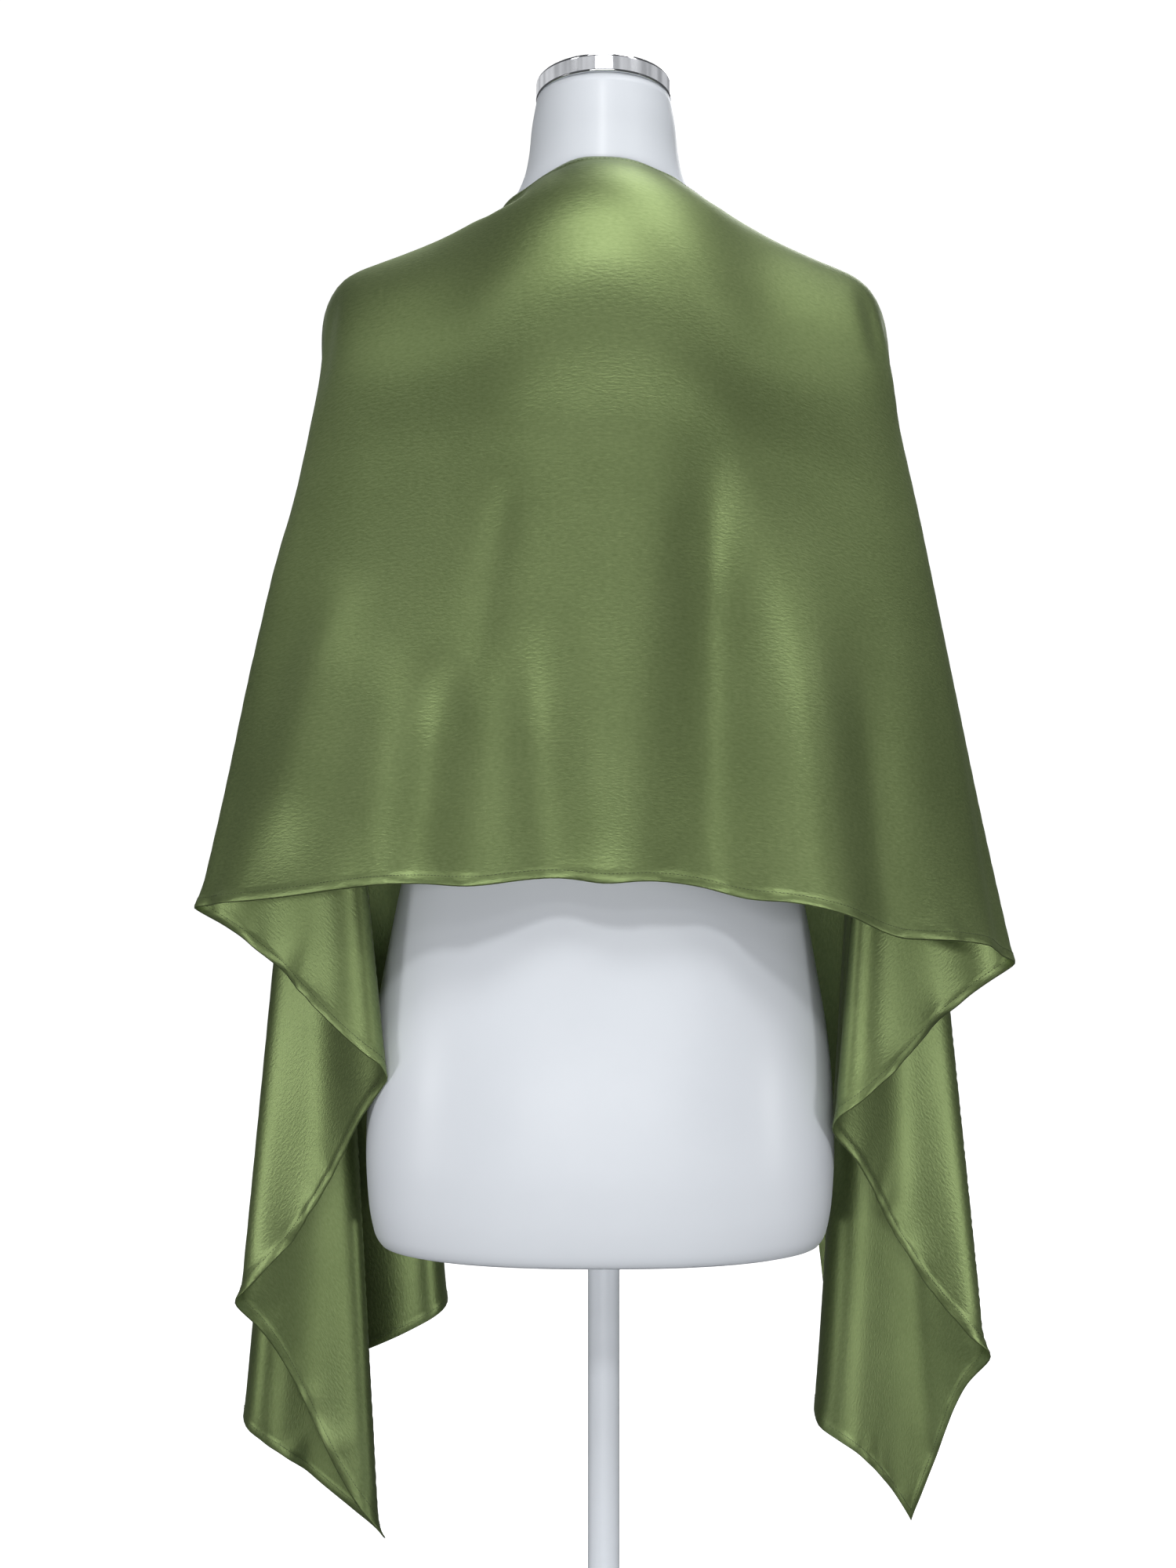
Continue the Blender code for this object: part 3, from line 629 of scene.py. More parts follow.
left_length, right_length = SIDE_SHAPES["left"]["length"], SIDE_SHAPES["right"]["length"]
grid_u = np.linspace(-left_length, right_length, round(STOLE_LENGTH / GRID_STEP) + 1)
grid_v = np.linspace(0.0, CLOTH_WIDTH, round(CLOTH_WIDTH / GRID_STEP) + 1)
flat_u, flat_v = np.meshgrid(grid_u, grid_v, indexing="ij")
cloth = np.zeros(flat_u.shape + (3,))
for side_name, mask in (("left", flat_u < 0), ("right", flat_u >= 0)):
    cloth[mask] = halves[side_name].place(np.abs(flat_u[mask]), flat_v[mask])
print("grid:", cloth.shape[0], "by", cloth.shape[1], "points")


# %% Soften the drape
def ease(share):
    return share ** 2 * (3 - 2 * share)


def soften(points, rounds):
    for _ in range(rounds):
        across = points.copy()
        across[1:-1] = (points[:-2] + 2 * points[1:-1] + points[2:]) / 4
        down = across.copy()
        down[:, 1:-1] = (across[:, :-2] + 2 * across[:, 1:-1] + across[:, 2:]) / 4
        points = down
    return points


# The back is taut from shoulder to shoulder, so it is averaged more: between these heights on the
# cloth the reach to each side grows, and it fades out there and towards the neck edge and the hem
BACK_SOFTEN_ROUNDS = 80
BACK_SOFTEN_DOWN = (0.06, 0.22)
BACK_SOFTEN_REACH = (0.205, 0.255)
BACK_SOFTEN_FADE = 0.06
NECK_EDGE_KEPT = 0.005
EDGE_FADE = 0.03


def soften_back(points, rounds):
    reach = np.interp(flat_v, BACK_SOFTEN_DOWN, BACK_SOFTEN_REACH)
    near_middle = np.clip((reach - np.abs(flat_u)) / BACK_SOFTEN_FADE, 0, 1)
    inside = np.clip(np.minimum(flat_v - NECK_EDGE_KEPT, CLOTH_WIDTH - flat_v) / EDGE_FADE, 0, 1)
    for _ in range(rounds):
        average = soften(points, 1)
        points = points + (average - points) * (near_middle * inside)[..., None]
    return points


placed = cloth
cloth = soften(soften_back(cloth, BACK_SOFTEN_ROUNDS), SOFTEN_ROUNDS)
print("softened by up to", round(float(np.linalg.norm(cloth - placed, axis=-1).max()) * 1000, 1), "mm")


# %% Outward direction of the cloth at each grid point
def outward_of(points):
    along = np.gradient(points, grid_u, axis=0)
    down = np.gradient(points, grid_v, axis=1)
    outward = -np.cross(along, down)
    return outward / np.maximum(np.linalg.norm(outward, axis=-1), 1e-9)[..., None]


# %% [markdown]
# ## Swells, creases and puckers
# Hanging satin is never quite straight. The stretches between two folds bow a little, the back
# hangs in under the shoulder blades and flares to its hem, and soft troughs run up from the hem.
# They could be pushed in with a sculpting brush, but in tables each has its place, width and height
# in plain numbers and can be moved without touching the others. A sewn hem is a little shorter than
# the cloth beside it, so the cloth also puckers in short, uneven waves that start at the stitches
# and fade within a few centimetres. A seeded generator draws those, the same on every run. All
# heights are along the cloth's outward side.

# %% Swell of the stretches between two folds
# First fold, last fold, height
SWELLS = {
    "left": (("a", "b", 0.004), ("b", "c", -0.012), ("c", "d", 0.010), ("d", "e", -0.010), ("e", "f", 0.010)),
    "right": (("a", "b", 0.004), ("b", "c", -0.012), ("c", "e", 0.006), ("e", "f", -0.006)),
}
SWELL_GROWTH = 1.2
SWELL_POINTEDNESS = 1.5


def swell_height():
    height = np.zeros_like(flat_u)
    for side_name, mask in (("left", flat_u < 0), ("right", flat_u >= 0)):
        side = halves[side_name]
        cut, place, whole, _, _ = side.line_of(np.abs(flat_u[mask]), flat_v[mask])
        cut_of = {row[0]: row[1] for row in side.lines}
        reach = np.clip(place / whole, 0, 1) ** SWELL_GROWTH
        part = np.zeros_like(cut)
        for first, last, size in SWELLS[side_name]:
            share = np.clip((cut - cut_of[first]) / (cut_of[last] - cut_of[first]), 0, 1)
            part += size * np.sin(math.pi * share) ** SWELL_POINTEDNESS
        height[mask] = part * reach
    return height


# %% Profile of the back
# Place down the cloth and height; it fades out between these two distances from the middle
BACK_PROFILE = ((0.00, 0.0), (0.045, 0.0080), (0.09, 0.0060), (0.15, 0.0), (0.21, -0.0055),
                (0.28, -0.0045), (0.42, 0.0060), (0.50, 0.0120))
BACK_PROFILE_EDGE = (0.15, 0.27)


def back_profile_height():
    start, end = BACK_PROFILE_EDGE
    middle = np.clip((end - np.abs(flat_u)) / (end - start), 0, 1)
    down, outward = zip(*BACK_PROFILE)
    height = between_rows(down, outward, flat_v.ravel())
    return height.reshape(flat_v.shape) * ease(middle)


swells = swell_height() + back_profile_height()
print("swells:", round(float(swells.min()) * 1000, 1), "to", round(float(swells.max()) * 1000, 1), "mm")

# %% Main creases
# Name, start and end on the flat stole (across, down, across, down), half width at both ends, height;
# a trough has a height below zero
CREASES = (
    ("long_trough", 0.078, 0.17, 0.064, 0.620, 0.028, 0.036, -0.0175),
    ("long_ridge", 0.142, 0.24, 0.150, 0.660, 0.024, 0.032, 0.0075),
    ("right_trough", 0.196, 0.28, 0.206, 0.620, 0.020, 0.028, -0.0070),
    ("right_edge_roll", 0.236, 0.08, 0.325, 0.470, 0.018, 0.024, 0.0030),
    ("short_left", -0.108, 0.34, -0.134, 0.560, 0.020, 0.028, -0.0095),
    ("middle_short", -0.048, 0.31, -0.022, 0.620, 0.019, 0.028, -0.0095),
    ("left_slant", -0.062, 0.22, -0.098, 0.400, 0.013, 0.016, -0.0034),
    ("left_ridge", -0.185, 0.28, -0.245, 0.500, 0.020, 0.030, 0.0060),
    ("left_edge_roll", -0.225, 0.08, -0.282, 0.470, 0.018, 0.024, 0.0035),
    ("left_swell", -0.155, 0.33, -0.165, 0.500, 0.018, 0.024, 0.0025),
    ("neck_left_hollow", -0.112, 0.014, -0.040, 0.020, 0.011, 0.010, -0.0045),
    ("right_pinch", 0.207, 0.055, 0.216, 0.125, 0.006, 0.007, -0.0028),
    ("right_pinch_fold", 0.224, 0.060, 0.240, 0.160, 0.006, 0.009, 0.0022),
    ("left_pinch", -0.208, 0.060, -0.222, 0.170, 0.007, 0.009, -0.0024),
    ("fall_left_bc_line", -0.480, 0.300, -0.720, 0.500, 0.014, 0.022, 0.0012),
    ("fall_left_cd_line", -0.560, 0.300, -0.900, 0.500, 0.016, 0.024, -0.0012),
    ("fall_left_de_line", -0.600, 0.230, -1.030, 0.430, 0.016, 0.022, 0.0014),
    ("fall_right_cd_line", 0.600, 0.300, 0.930, 0.500, 0.014, 0.022, -0.0012),
    ("fall_right_de_line", 0.600, 0.220, 1.010, 0.360, 0.016, 0.022, 0.0014),
    ("front_left_long", -0.420, 0.080, -0.930, 0.095, 0.014, 0.022, -0.0040),
    ("front_left_soft", -0.300, 0.035, -0.800, 0.030, 0.012, 0.016, 0.0030),
    ("fall_right_bc_line", 0.520, 0.310, 0.780, 0.500, 0.014, 0.024, 0.0012),
    ("front_right_long", 0.400, 0.060, 0.900, 0.075, 0.014, 0.020, -0.0040),
    ("front_right_soft", 0.340, 0.110, 0.780, 0.130, 0.012, 0.018, 0.0028),
)
CREASE_FADE = 0.35


def crease_height(row):
    _, start_u, start_v, end_u, end_v, start_width, end_width, height = row
    run_u, run_v = end_u - start_u, end_v - start_v
    length = math.hypot(run_u, run_v)
    share = ((flat_u - start_u) * run_u + (flat_v - start_v) * run_v) / length ** 2
    aside = ((flat_u - start_u) * run_v - (flat_v - start_v) * run_u) / length
    width = start_width + (end_width - start_width) * np.clip(share, 0, 1)
    fade_in = np.clip(share / CREASE_FADE, 0, 1)
    fade_out = np.clip((1 - share) / CREASE_FADE, 0, 1)
    return height * np.exp(-(aside / width) ** 2) * ease(fade_in) * ease(fade_out)


creases = sum(crease_height(row) for row in CREASES)
print("creases:", len(CREASES), "deepest", round(float(creases.min()) * 1000, 1), "mm")

# %% Puckers along the hems
PUCKER_SEED = 7
PUCKER_SPACING = 0.020
PUCKER_HEIGHT = 0.0036
PUCKER_REACH = 0.012
FIRST_PUCKER = 0.01
# Between what each draw falls: size, half width, share of the reach, slant, share of the spacing
PUCKER_SIZES = (0.15, 1.0)
PUCKER_SIZE_POWER = 1.5
PUCKER_WIDTHS = (0.0045, 0.0105)
PUCKER_REACHES = (0.4, 1.3)
PUCKER_SLANTS = (-0.5, 0.5)
PUCKER_STEPS = (0.35, 1.7)
# The neck edge is stretched nearly flat, and the two ends pucker a little less than the long hem
NECK_EDGE_SHARE = 0.5
END_SHARE = 0.8

pucker_random = np.random.default_rng(PUCKER_SEED)


def puckers(along_edge, from_edge, edge_length):
    height = np.zeros_like(along_edge)
    at = FIRST_PUCKER
    while at < edge_length:
        size = pucker_random.uniform(*PUCKER_SIZES) ** PUCKER_SIZE_POWER * pucker_random.choice((-1, 1))
        width = pucker_random.uniform(*PUCKER_WIDTHS)
        reach = PUCKER_REACH * pucker_random.uniform(*PUCKER_REACHES)
        slant = pucker_random.uniform(*PUCKER_SLANTS)
        offset = along_edge - at - slant * from_edge
        height += PUCKER_HEIGHT * size * np.exp(-(offset / width) ** 2) * np.exp(-from_edge / reach)
        at += PUCKER_SPACING * pucker_random.uniform(*PUCKER_STEPS)
    return height


crumple = puckers(flat_u + left_length, CLOTH_WIDTH - flat_v, STOLE_LENGTH)
crumple += puckers(flat_u + left_length, flat_v, STOLE_LENGTH) * NECK_EDGE_SHARE
crumple += puckers(flat_v, flat_u + left_length, CLOTH_WIDTH) * END_SHARE
crumple += puckers(flat_v, right_length - flat_u, CLOTH_WIDTH) * END_SHARE
print("deepest pucker:", round(float(np.abs(crumple).max()) * 1000, 2), "mm")

# %% [markdown]
# ## Keep the cloth off the form
# Cloth lies on a form and never passes through it. A shrinkwrap modifier could hold the whole sheet
# off, but only a few points come too close, at the shoulders and the blades. So only these are
# moved, straight out from the nearest place on the form, and all the others keep their drape.

# %% Cloth clear of the form
FORM_CLEARANCE = 0.0012
SEARCH_REACH = 0.03

cloth = cloth + outward_of(cloth) * (swells + creases + crumple)[..., None]


def push_clear(points):
    moved = points.reshape(-1, 3).copy()
    count = 0
    for index, point in enumerate(moved):
        hit, normal, _, distance = form_tree.find_nearest(Vector(point), SEARCH_REACH)
        if hit is None:
            continue
        height = (Vector(point) - hit).dot(normal)
        if math.copysign(distance, height) < FORM_CLEARANCE:
            moved[index] = np.array(hit + normal * FORM_CLEARANCE)
            count += 1
    return moved.reshape(points.shape), count


cloth, lifted = push_clear(cloth)
cloth, _ = push_clear(soften(cloth, 1))
print("points lifted off the form:", lifted)


# %% [markdown]
# ## From grid to cloth with a folded hem
# The hem is the same cloth folded over twice, so it is thicker for its seven millimetres and ends
# in a soft round edge. A Solidify modifier would make the whole sheet one thickness, so the wall is
# made here: the grid gets extra lines on both sides of the hem's inner edge, each point takes its
# thickness from how far it is from the edge, and a narrow strip closes the rim.

# %% Finer lines at the borders
CLOTH_THICKNESS = 0.0008
HEM_THICKNESS = 0.0013
HEM_STEP = 0.0004
RIM_WIDTH = 0.0009
RIM_SHARE = 0.35
BORDER_LINES = (RIM_WIDTH, 0.0040, HEM_WIDTH - HEM_STEP, HEM_WIDTH + 0.0005)
GRID_CLEARANCE = 0.002


def border_lines(lines):
    first, last = lines[0], lines[-1]
    extra = [first + value for value in BORDER_LINES] + [last - value for value in BORDER_LINES]
    border = HEM_WIDTH + GRID_CLEARANCE
    kept = [value for value in lines if border < value - first < last - first - border]
    return np.array(sorted([first, last] + extra + kept))


def between_points(points, lines, at, axis):
    place = np.clip(np.interp(at, lines, np.arange(len(lines))), 0, len(lines) - 1)
    low = np.minimum(place.astype(int), len(lines) - 2)
    share = place - low
    before = np.take(points, low, axis=axis)
    after = np.take(points, low + 1, axis=axis)
    shape = (-1, 1, 1) if axis == 0 else (1, -1, 1)
    return before + (after - before) * share.reshape(shape)


line_u, line_v = border_lines(grid_u), border_lines(grid_v)
fine_cloth = between_points(between_points(cloth, grid_u, line_u, 0), grid_v, line_v, 1)
fine_outward = between_points(between_points(outward_of(cloth), grid_u, line_u, 0), grid_v, line_v, 1)
fine_outward /= np.linalg.norm(fine_outward, axis=-1)[..., None]
print("fine grid:", fine_cloth.shape[:2])

# %% Stole as one closed piece
fine_u, fine_v = np.meshgrid(line_u, line_v, indexing="ij")
edge_distance = np.minimum(np.minimum(fine_v, CLOTH_WIDTH - fine_v),
                           np.minimum(fine_u + left_length, right_length - fine_u))
hem_share = np.clip((HEM_WIDTH - edge_distance) / HEM_STEP, 0, 1)
rim_share = np.clip(edge_distance / RIM_WIDTH, 0, 1) ** 0.5
thickness = CLOTH_THICKNESS + (HEM_THICKNESS - CLOTH_THICKNESS) * hem_share
thickness = thickness * (RIM_SHARE + (1 - RIM_SHARE) * rim_share)


def build_stole():
    rows, columns = fine_cloth.shape[:2]
    half = (thickness / 2)[..., None]
    outer = (fine_cloth + fine_outward * half).reshape(-1, 3)
    inner = (fine_cloth - fine_outward * half).reshape(-1, 3)
    index = np.arange(rows * columns).reshape(rows, columns)
    corners = np.stack([index[:-1, :-1], index[:-1, 1:], index[1:, 1:], index[1:, :-1]], axis=-1)
    corners = corners.reshape(-1, 4)
    count = rows * columns
    rim = np.concatenate([index[:-1, 0], index[-1, :-1], index[:0:-1, -1], index[0, :0:-1]])
    after = np.roll(rim, -1)
    faces = corners[:, ::-1].tolist() + (corners + count).tolist()
    faces += np.stack([rim, after, after + count, rim + count], axis=-1)[:, ::-1].tolist()
    made = make_piece("satin_stole", np.concatenate([outer, inner]), faces, satin.material)
    flat = np.stack([fine_u.ravel(), fine_v.ravel()], axis=-1)
    flat = np.concatenate([flat, flat])
    loops = np.zeros(len(made.data.loops), int)
    made.data.loops.foreach_get("vertex_index", loops)
    uv = made.data.uv_layers.new(name="cut")
    uv.data.foreach_set("uv", flat[loops].ravel())
    return made


stole = build_stole()
face_outward(stole)
stole.data.calc_loop_triangles()
print("stole:", len(stole.data.loop_triangles), "triangles")

# %% [markdown]
# ## Stitches
# A narrow hem is held by a row of small lock stitches, about two and a half millimetres each, that
# shows on both sides of the cloth. Bump in the satin could hint at them, but a stitch is a real
# thread that stands on the cloth. Nearly two thousand go round the stole on each side, so they are
# made by Geometry Nodes: a point for each stitch carries its direction along the edge and its
# outward direction, and one small rounded bead is placed on each point and turned to both.

# %% Points for the stitches
STITCH_PITCH = 0.0026
STITCH_LENGTH = 0.0019
STITCH_WIDTH = 0.00042
STITCH_FROM_EDGE = 0.0060
STITCH_AHEAD = 0.001
BEAD_SEGMENTS = 6
BEAD_RINGS = 4


# Place and heading of each stitch on the flat stole, once round its edge
def stitch_route():
    inset = STITCH_FROM_EDGE
    corners = [(-left_length + inset, inset), (right_length - inset, inset),
               (right_length - inset, CLOTH_WIDTH - inset), (-left_length + inset, CLOTH_WIDTH - inset)]
    route = []
    for start, end in zip(corners, corners[1:] + corners[:1]):
        span = math.dist(start, end)
        pieces = round(span / STITCH_PITCH)
        for step in range(pieces):
            share = (step + 0.5) / pieces
            place = [start[axis] + (end[axis] - start[axis]) * share for axis in (0, 1)]
            heading = [(end[axis] - start[axis]) / span for axis in (0, 1)]
            route.append((*place, *heading))
    return np.array(route)


# Place in space and outward direction of points of the flat stole, read from the fine grid
def on_cloth(u, v):
    place_u = np.interp(u, line_u, np.arange(len(line_u)))
    place_v = np.interp(v, line_v, np.arange(len(line_v)))
    low_u = np.minimum(place_u.astype(int), len(line_u) - 2)
    low_v = np.minimum(place_v.astype(int), len(line_v) - 2)
    share_u = (place_u - low_u)[:, None]
    share_v = (place_v - low_v)[:, None]
    result = []
    for values in (fine_cloth, fine_outward):
        near = values[low_u, low_v] * (1 - share_v) + values[low_u, low_v + 1] * share_v
        far = values[low_u + 1, low_v] * (1 - share_v) + values[low_u + 1, low_v + 1] * share_v
        result.append(near * (1 - share_u) + far * share_u)
    return result


route = stitch_route()
here, face_out = on_cloth(route[:, 0], route[:, 1])
ahead, _ = on_cloth(route[:, 0] + route[:, 2] * STITCH_AHEAD, route[:, 1] + route[:, 3] * STITCH_AHEAD)
heading = ahead - here
heading /= np.linalg.norm(heading, axis=1)[:, None]
lift = HEM_THICKNESS / 2
stitch_places = np.concatenate([here + face_out * lift, here - face_out * lift])
stitch_headings = np.concatenate([heading, heading])
stitch_faces = np.concatenate([face_out, -face_out])
print("stitches:", len(stitch_places))


# %% Geometry Nodes tree for the stitches
def stitch_tree():
    tree = bpy.data.node_groups.new("hem_stitches", "GeometryNodeTree")
    sockets = {}
    tree.interface.new_socket("Geometry", in_out="INPUT", socket_type="NodeSocketGeometry")
    for name, value in (("Stitch Length", STITCH_LENGTH), ("Stitch Width", STITCH_WIDTH)):
        made = tree.interface.new_socket(name, in_out="INPUT", socket_type="NodeSocketFloat")
        made.default_value = value
        sockets[name] = made.identifier
    tree.interface.new_socket("Geometry", in_out="OUTPUT", socket_type="NodeSocketGeometry")
    new, link = tree.nodes.new, tree.links.new

    def read_direction(name):
        reader = new("GeometryNodeInputNamedAttribute")
        reader.data_type = "FLOAT_VECTOR"
        reader.inputs["Name"].default_value = name
        return reader.outputs["Attribute"]

    entry, leave = new("NodeGroupInput"), new("NodeGroupOutput")
    bead = new("GeometryNodeMeshUVSphere")
    bead.inputs["Segments"].default_value = BEAD_SEGMENTS
    bead.inputs["Rings"].default_value = BEAD_RINGS
    bead.inputs["Radius"].default_value = 0.5
    size = new("ShaderNodeCombineXYZ")
    link(entry.outputs["Stitch Length"], size.inputs["X"])
    link(entry.outputs["Stitch Width"], size.inputs["Y"])
    link(entry.outputs["Stitch Width"], size.inputs["Z"])
    turn_out = new("FunctionNodeAlignRotationToVector")
    turn_out.axis = "Z"
    link(read_direction("facing"), turn_out.inputs["Vector"])
    turn_along = new("FunctionNodeAlignRotationToVector")
    turn_along.axis = "X"
    turn_along.pivot_axis = "Z"
    link(turn_out.outputs["Rotation"], turn_along.inputs["Rotation"])
    link(read_direction("along"), turn_along.inputs["Vector"])
    points = new("GeometryNodeMeshToPoints")
    link(entry.outputs["Geometry"], points.inputs["Mesh"])
    place = new("GeometryNodeInstanceOnPoints")
    link(points.outputs["Points"], place.inputs["Points"])
    link(bead.outputs["Mesh"], place.inputs["Instance"])
    link(turn_along.outputs["Rotation"], place.inputs["Rotation"])
    link(size.outputs["Vector"], place.inputs["Scale"])
    realize = new("GeometryNodeRealizeInstances")
    link(place.outputs["Instances"], realize.inputs["Geometry"])
    smooth = new("GeometryNodeSetShadeSmooth")
    link(realize.outputs["Geometry"], smooth.inputs["Geometry"])
    finish = new("GeometryNodeSetMaterial")
    finish.inputs["Material"].default_value = thread.material
    link(smooth.outputs["Geometry"], finish.inputs["Geometry"])
    link(finish.outputs["Geometry"], leave.inputs["Geometry"])
    return tree, sockets


# %% Stitches as one mesh
def build_stitches():
    holder = make_piece("stitch_points", stitch_places, [], thread.material)
    for name, values in (("along", stitch_headings), ("facing", stitch_faces)):
        attribute = holder.data.attributes.new(name, "FLOAT_VECTOR", "POINT")
        attribute.data.foreach_set("vector", values.astype(np.float32).ravel())
    tree, sockets = stitch_tree()
    maker = holder.modifiers.new("hem_stitches", "NODES")
    maker.node_group = tree
    maker[sockets["Stitch Length"]] = STITCH_LENGTH
    maker[sockets["Stitch Width"]] = STITCH_WIDTH
    evaluated = holder.evaluated_get(bpy.context.evaluated_depsgraph_get())
    mesh = bpy.data.meshes.new_from_object(evaluated)
    mesh.name = "hem_stitches"
    made = bpy.data.objects.new("hem_stitches", mesh)
    bpy.context.scene.collection.objects.link(made)
    bpy.data.objects.remove(holder)
    return made


stitches = build_stitches()
stitches.data.calc_loop_triangles()
print("stitch triangles:", len(stitches.data.loop_triangles))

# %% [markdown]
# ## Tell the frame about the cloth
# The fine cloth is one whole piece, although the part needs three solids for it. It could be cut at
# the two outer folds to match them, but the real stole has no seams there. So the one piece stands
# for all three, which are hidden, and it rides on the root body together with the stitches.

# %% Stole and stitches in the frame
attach(stole, "root")
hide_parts("shawl_back", "shawl_left_fall", "shawl_right_fall")
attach(stitches, "root")
print("the stole stands for the three shawl nodes")

# %% [markdown]
# ## Studio
# The photograph has a plain white ground. A flat plane would do for one view, but a pale floor that
# curves up into a wall all round serves every side. It is seen by the camera and throws no light
# back on the object, so the satin keeps the dark edges that it has in the picture.


# %% Rings for the studio
def level_ring(radius, height, count):
    angles = [2 * math.pi * step / count for step in range(count)]
    return [(radius * math.cos(angle), radius * math.sin(angle), height) for angle in angles]


# A band of faces that look inward, between the ring that starts at one point and the ring after it
def inner_band(low, count):
    high = low + count
    return [(low + step, high + step, high + (step + 1) % count, low + (step + 1) % count)
            for step in range(count)]


# %% Floor and backdrop
STUDIO_RADIUS = 6.0
STUDIO_HEIGHT = 7.0
STUDIO_CURVE = 1.5
STUDIO_CURVE_STEPS = 12
STUDIO_SEGMENTS = 96
FLOOR_DROP = 0.0005
FLOOR_RINGS = (0.4, 1.5, STUDIO_RADIUS - STUDIO_CURVE)
GROUND_GREYS = ((0.2, (0.50, 0.50, 0.50)), (0.8, (0.54, 0.54, 0.54)))
GROUND_GLOW = 0.97

ground = Finish("studio_ground")
ground.set(Roughness=0.9)
ground.shader.inputs["Specular IOR Level"].default_value = 0.1
ground.shader.inputs["Emission Strength"].default_value = GROUND_GLOW
ground.shader.inputs["Emission Color"].default_value = (1.0, 1.0, 1.0, 1.0)
ground_place = ground.node("ShaderNodeTexCoord").outputs["Object"]
ground.join(ground.ramp(ground.noise(ground_place, 0.8), GROUND_GREYS), ground.shader.inputs["Base Color"])

profile = [(radius, -FLOOR_DROP) for radius in FLOOR_RINGS]
for step in range(1, STUDIO_CURVE_STEPS + 1):
    turn = math.pi / 2 * step / STUDIO_CURVE_STEPS
    profile.append((STUDIO_RADIUS - STUDIO_CURVE * (1 - math.sin(turn)), STUDIO_CURVE * (1 - math.cos(turn))))
profile.append((STUDIO_RADIUS, STUDIO_HEIGHT))
studio_points = [(0.0, 0.0, -FLOOR_DROP)]
studio_faces = [(0, 1 + step, 1 + (step + 1) % STUDIO_SEGMENTS) for step in range(STUDIO_SEGMENTS)]
for radius, height in profile:
    studio_points += level_ring(radius, height, STUDIO_SEGMENTS)
for ring in range(len(profile) - 1):
    studio_faces += inner_band(1 + ring * STUDIO_SEGMENTS, STUDIO_SEGMENTS)
studio = make_piece("studio_ground", studio_points, studio_faces, ground.material)
studio.visible_diffuse = False
studio.visible_glossy = False
studio.visible_shadow = False
print("studio:", len(studio.data.polygons), "faces")

# %% [markdown]
# ## A glowing card for the chrome
# Chrome has no colour of its own and shows what stands round it. In the picture the cap has bright
# and dark patches side by side. Lights alone would leave it black between them, so a ring of
# patchy grey card that glows with its own light stands round the form, where the cap's wall mirrors
# it. Only mirrors see it.

# %% Glowing card
CARD_RADIUS = 3.3
CARD_HEIGHTS = (1.85, 2.40)
CARD_GREYS = ((0.42, (0.24, 0.25, 0.27)), (0.58, (0.80, 0.81, 0.84)))
CARD_GLOW = 0.42

card = Finish("glowing_card")
card.set(Roughness=0.9)
# The card glows by itself, not a lamp: its own patchy light makes the bright and dark patches in the chrome
card.shader.inputs["Emission Strength"].default_value = CARD_GLOW
card_place = card.node("ShaderNodeTexCoord").outputs["Object"]
card.join(card.ramp(card.noise(card_place, 1.3), CARD_GREYS), card.shader.inputs["Emission Color"])
card_points = [point for height in CARD_HEIGHTS for point in level_ring(CARD_RADIUS, height, STUDIO_SEGMENTS)]
glowing_card = make_piece("glowing_card", card_points, inner_band(0, STUDIO_SEGMENTS), card.material)
glowing_card.visible_camera = False
glowing_card.visible_diffuse = False
glowing_card.visible_shadow = False
print("grey card:", len(glowing_card.data.polygons), "faces")

# %% [markdown]
# ## Lights
# Satin shows the shape of its lights. One large lamp would light the stole evenly and hide its
# creases, so several softboxes share the work. A wide one hangs over the shoulders for the bright
# yoke, a small key lamp behind the camera draws the ridges, and a high and a low one fill the back
# and the falls. Weak lamps at both sides leave the outer edges dark: the low ones are narrow beams
# that reach only the falls. The air itself gives the shadows a little cool light.

# %% Lights
MIDDLE = (0.0, 0.0, 0.62)
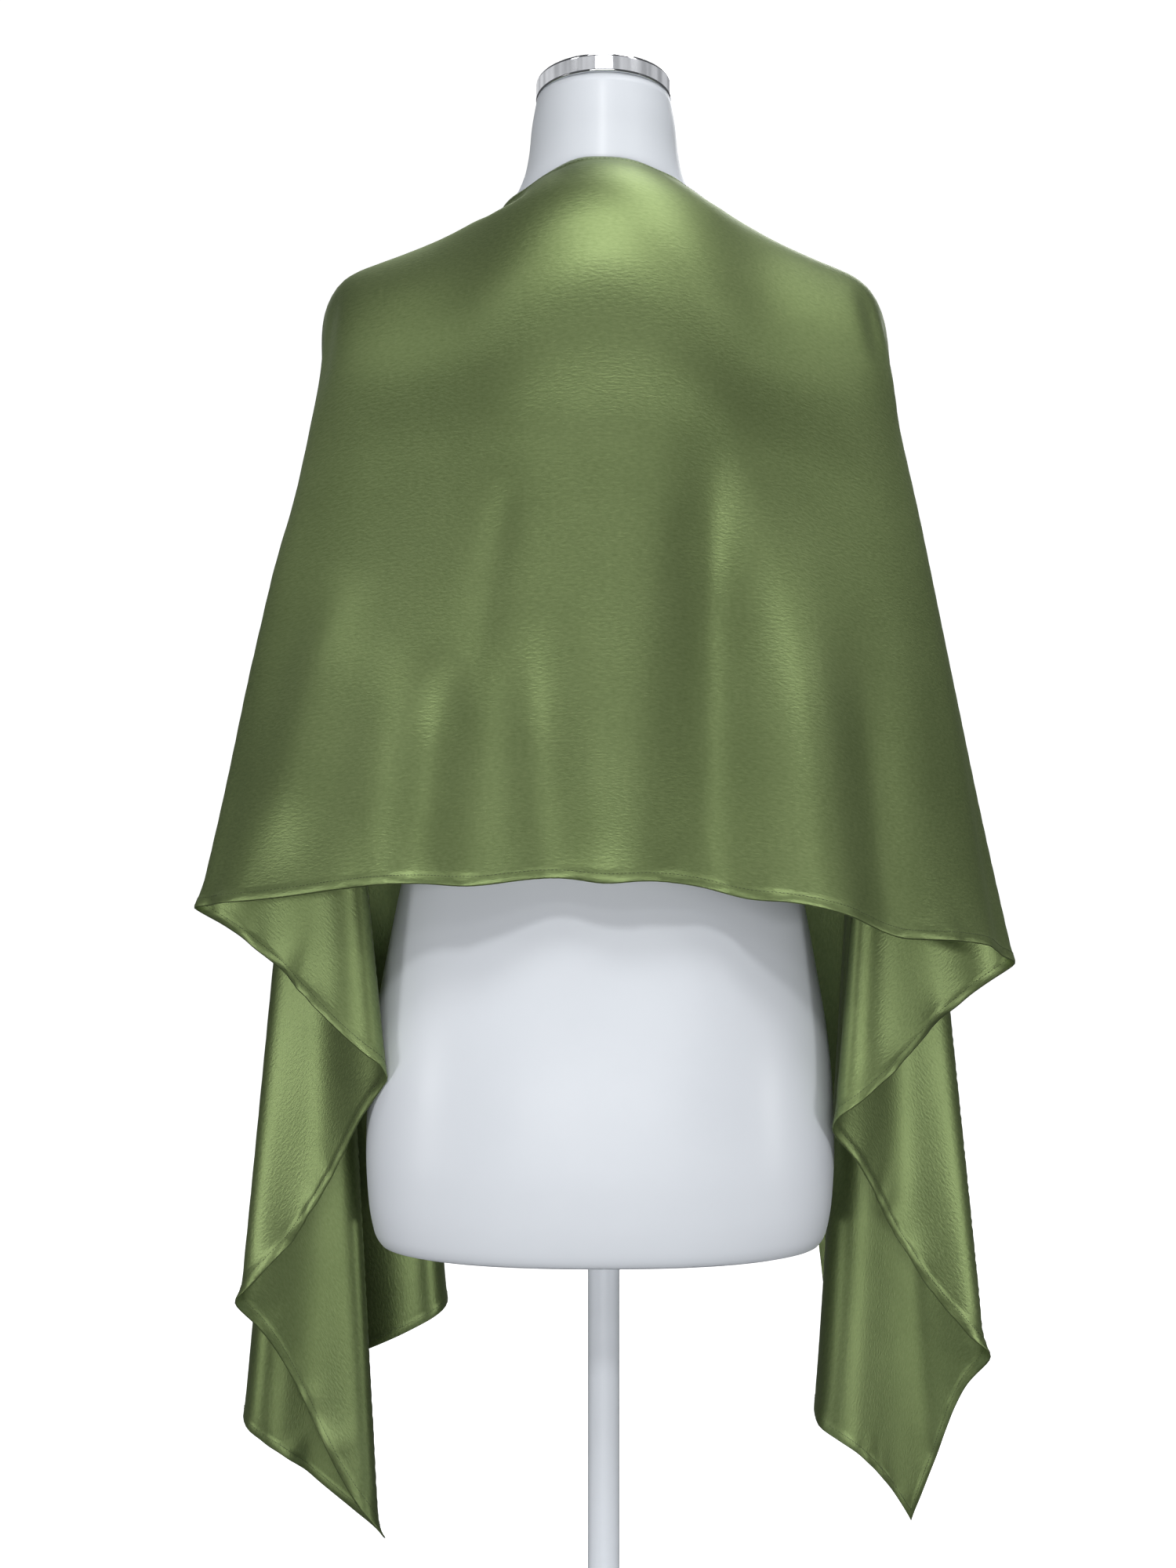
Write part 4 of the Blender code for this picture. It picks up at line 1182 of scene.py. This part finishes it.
# Name, place, what it points at, width and height, watts, spread of the beam in degrees
LAMPS = (
    ("cap_light", (0.0, -3.0, 2.07), (0.0, 0.0, 1.11), (1.5, 0.3), 4.0, 180.0),
    ("top_light", (0.5, 0.25, 2.9), (0.0, 0.0, 0.85), (3.6, 0.7), 38.0, 180.0),
    ("key_light", (-0.10, -2.6, 2.75), MIDDLE, (0.35, 0.30), 20.0, 180.0),
    ("high_light", (-0.3, -2.2, 4.2), MIDDLE, (2.4, 0.9), 40.0, 180.0),
    ("low_light", (-0.1, -2.4, 0.18), (0.0, 0.0, 0.45), (1.7, 0.4), 19.0, 180.0),
    ("left_light", (-2.0, -1.6, 2.3), (0.0, 0.0, 0.50), (0.6, 0.6), 3.5, 180.0),
    ("left_low_light", (-2.2, -1.1, 0.30), (-0.22, 0.0, 0.32), (0.6, 0.5), 0.62, 40.0),
    ("right_light", (2.0, -1.6, 2.3), (0.0, 0.0, 0.50), (0.6, 0.6), 3.5, 180.0),
    ("right_low_light", (2.2, -1.1, 0.20), (0.22, 0.0, 0.28), (0.5, 0.4), 0.42, 34.0),
    ("front_light", (0.4, 2.4, 1.7), MIDDLE, (1.4, 1.4), 18.0, 180.0),
)
AIR_COLOUR = (0.93, 0.95, 1.0, 1.0)
AIR_GLOW = 0.09


def soft_light(name, place, target, size, power, spread):
    data = bpy.data.lights.new(name, "AREA")
    data.shape = "RECTANGLE"
    data.size, data.size_y = size
    data.energy = power
    data.spread = math.radians(spread)
    light = bpy.data.objects.new(name, data)
    light.location = place
    light.rotation_euler = (Vector(target) - Vector(place)).to_track_quat("-Z", "Y").to_euler()
    bpy.context.scene.collection.objects.link(light)


for lamp in LAMPS:
    soft_light(*lamp)
air = bpy.data.worlds.new("studio_air")
air.use_nodes = True
air.node_tree.nodes["Background"].inputs["Color"].default_value = AIR_COLOUR
air.node_tree.nodes["Background"].inputs["Strength"].default_value = AIR_GLOW
bpy.context.scene.world = air
bpy.context.scene.view_settings.view_transform = "Standard"
print("lights:", [light.name for light in bpy.data.lights])
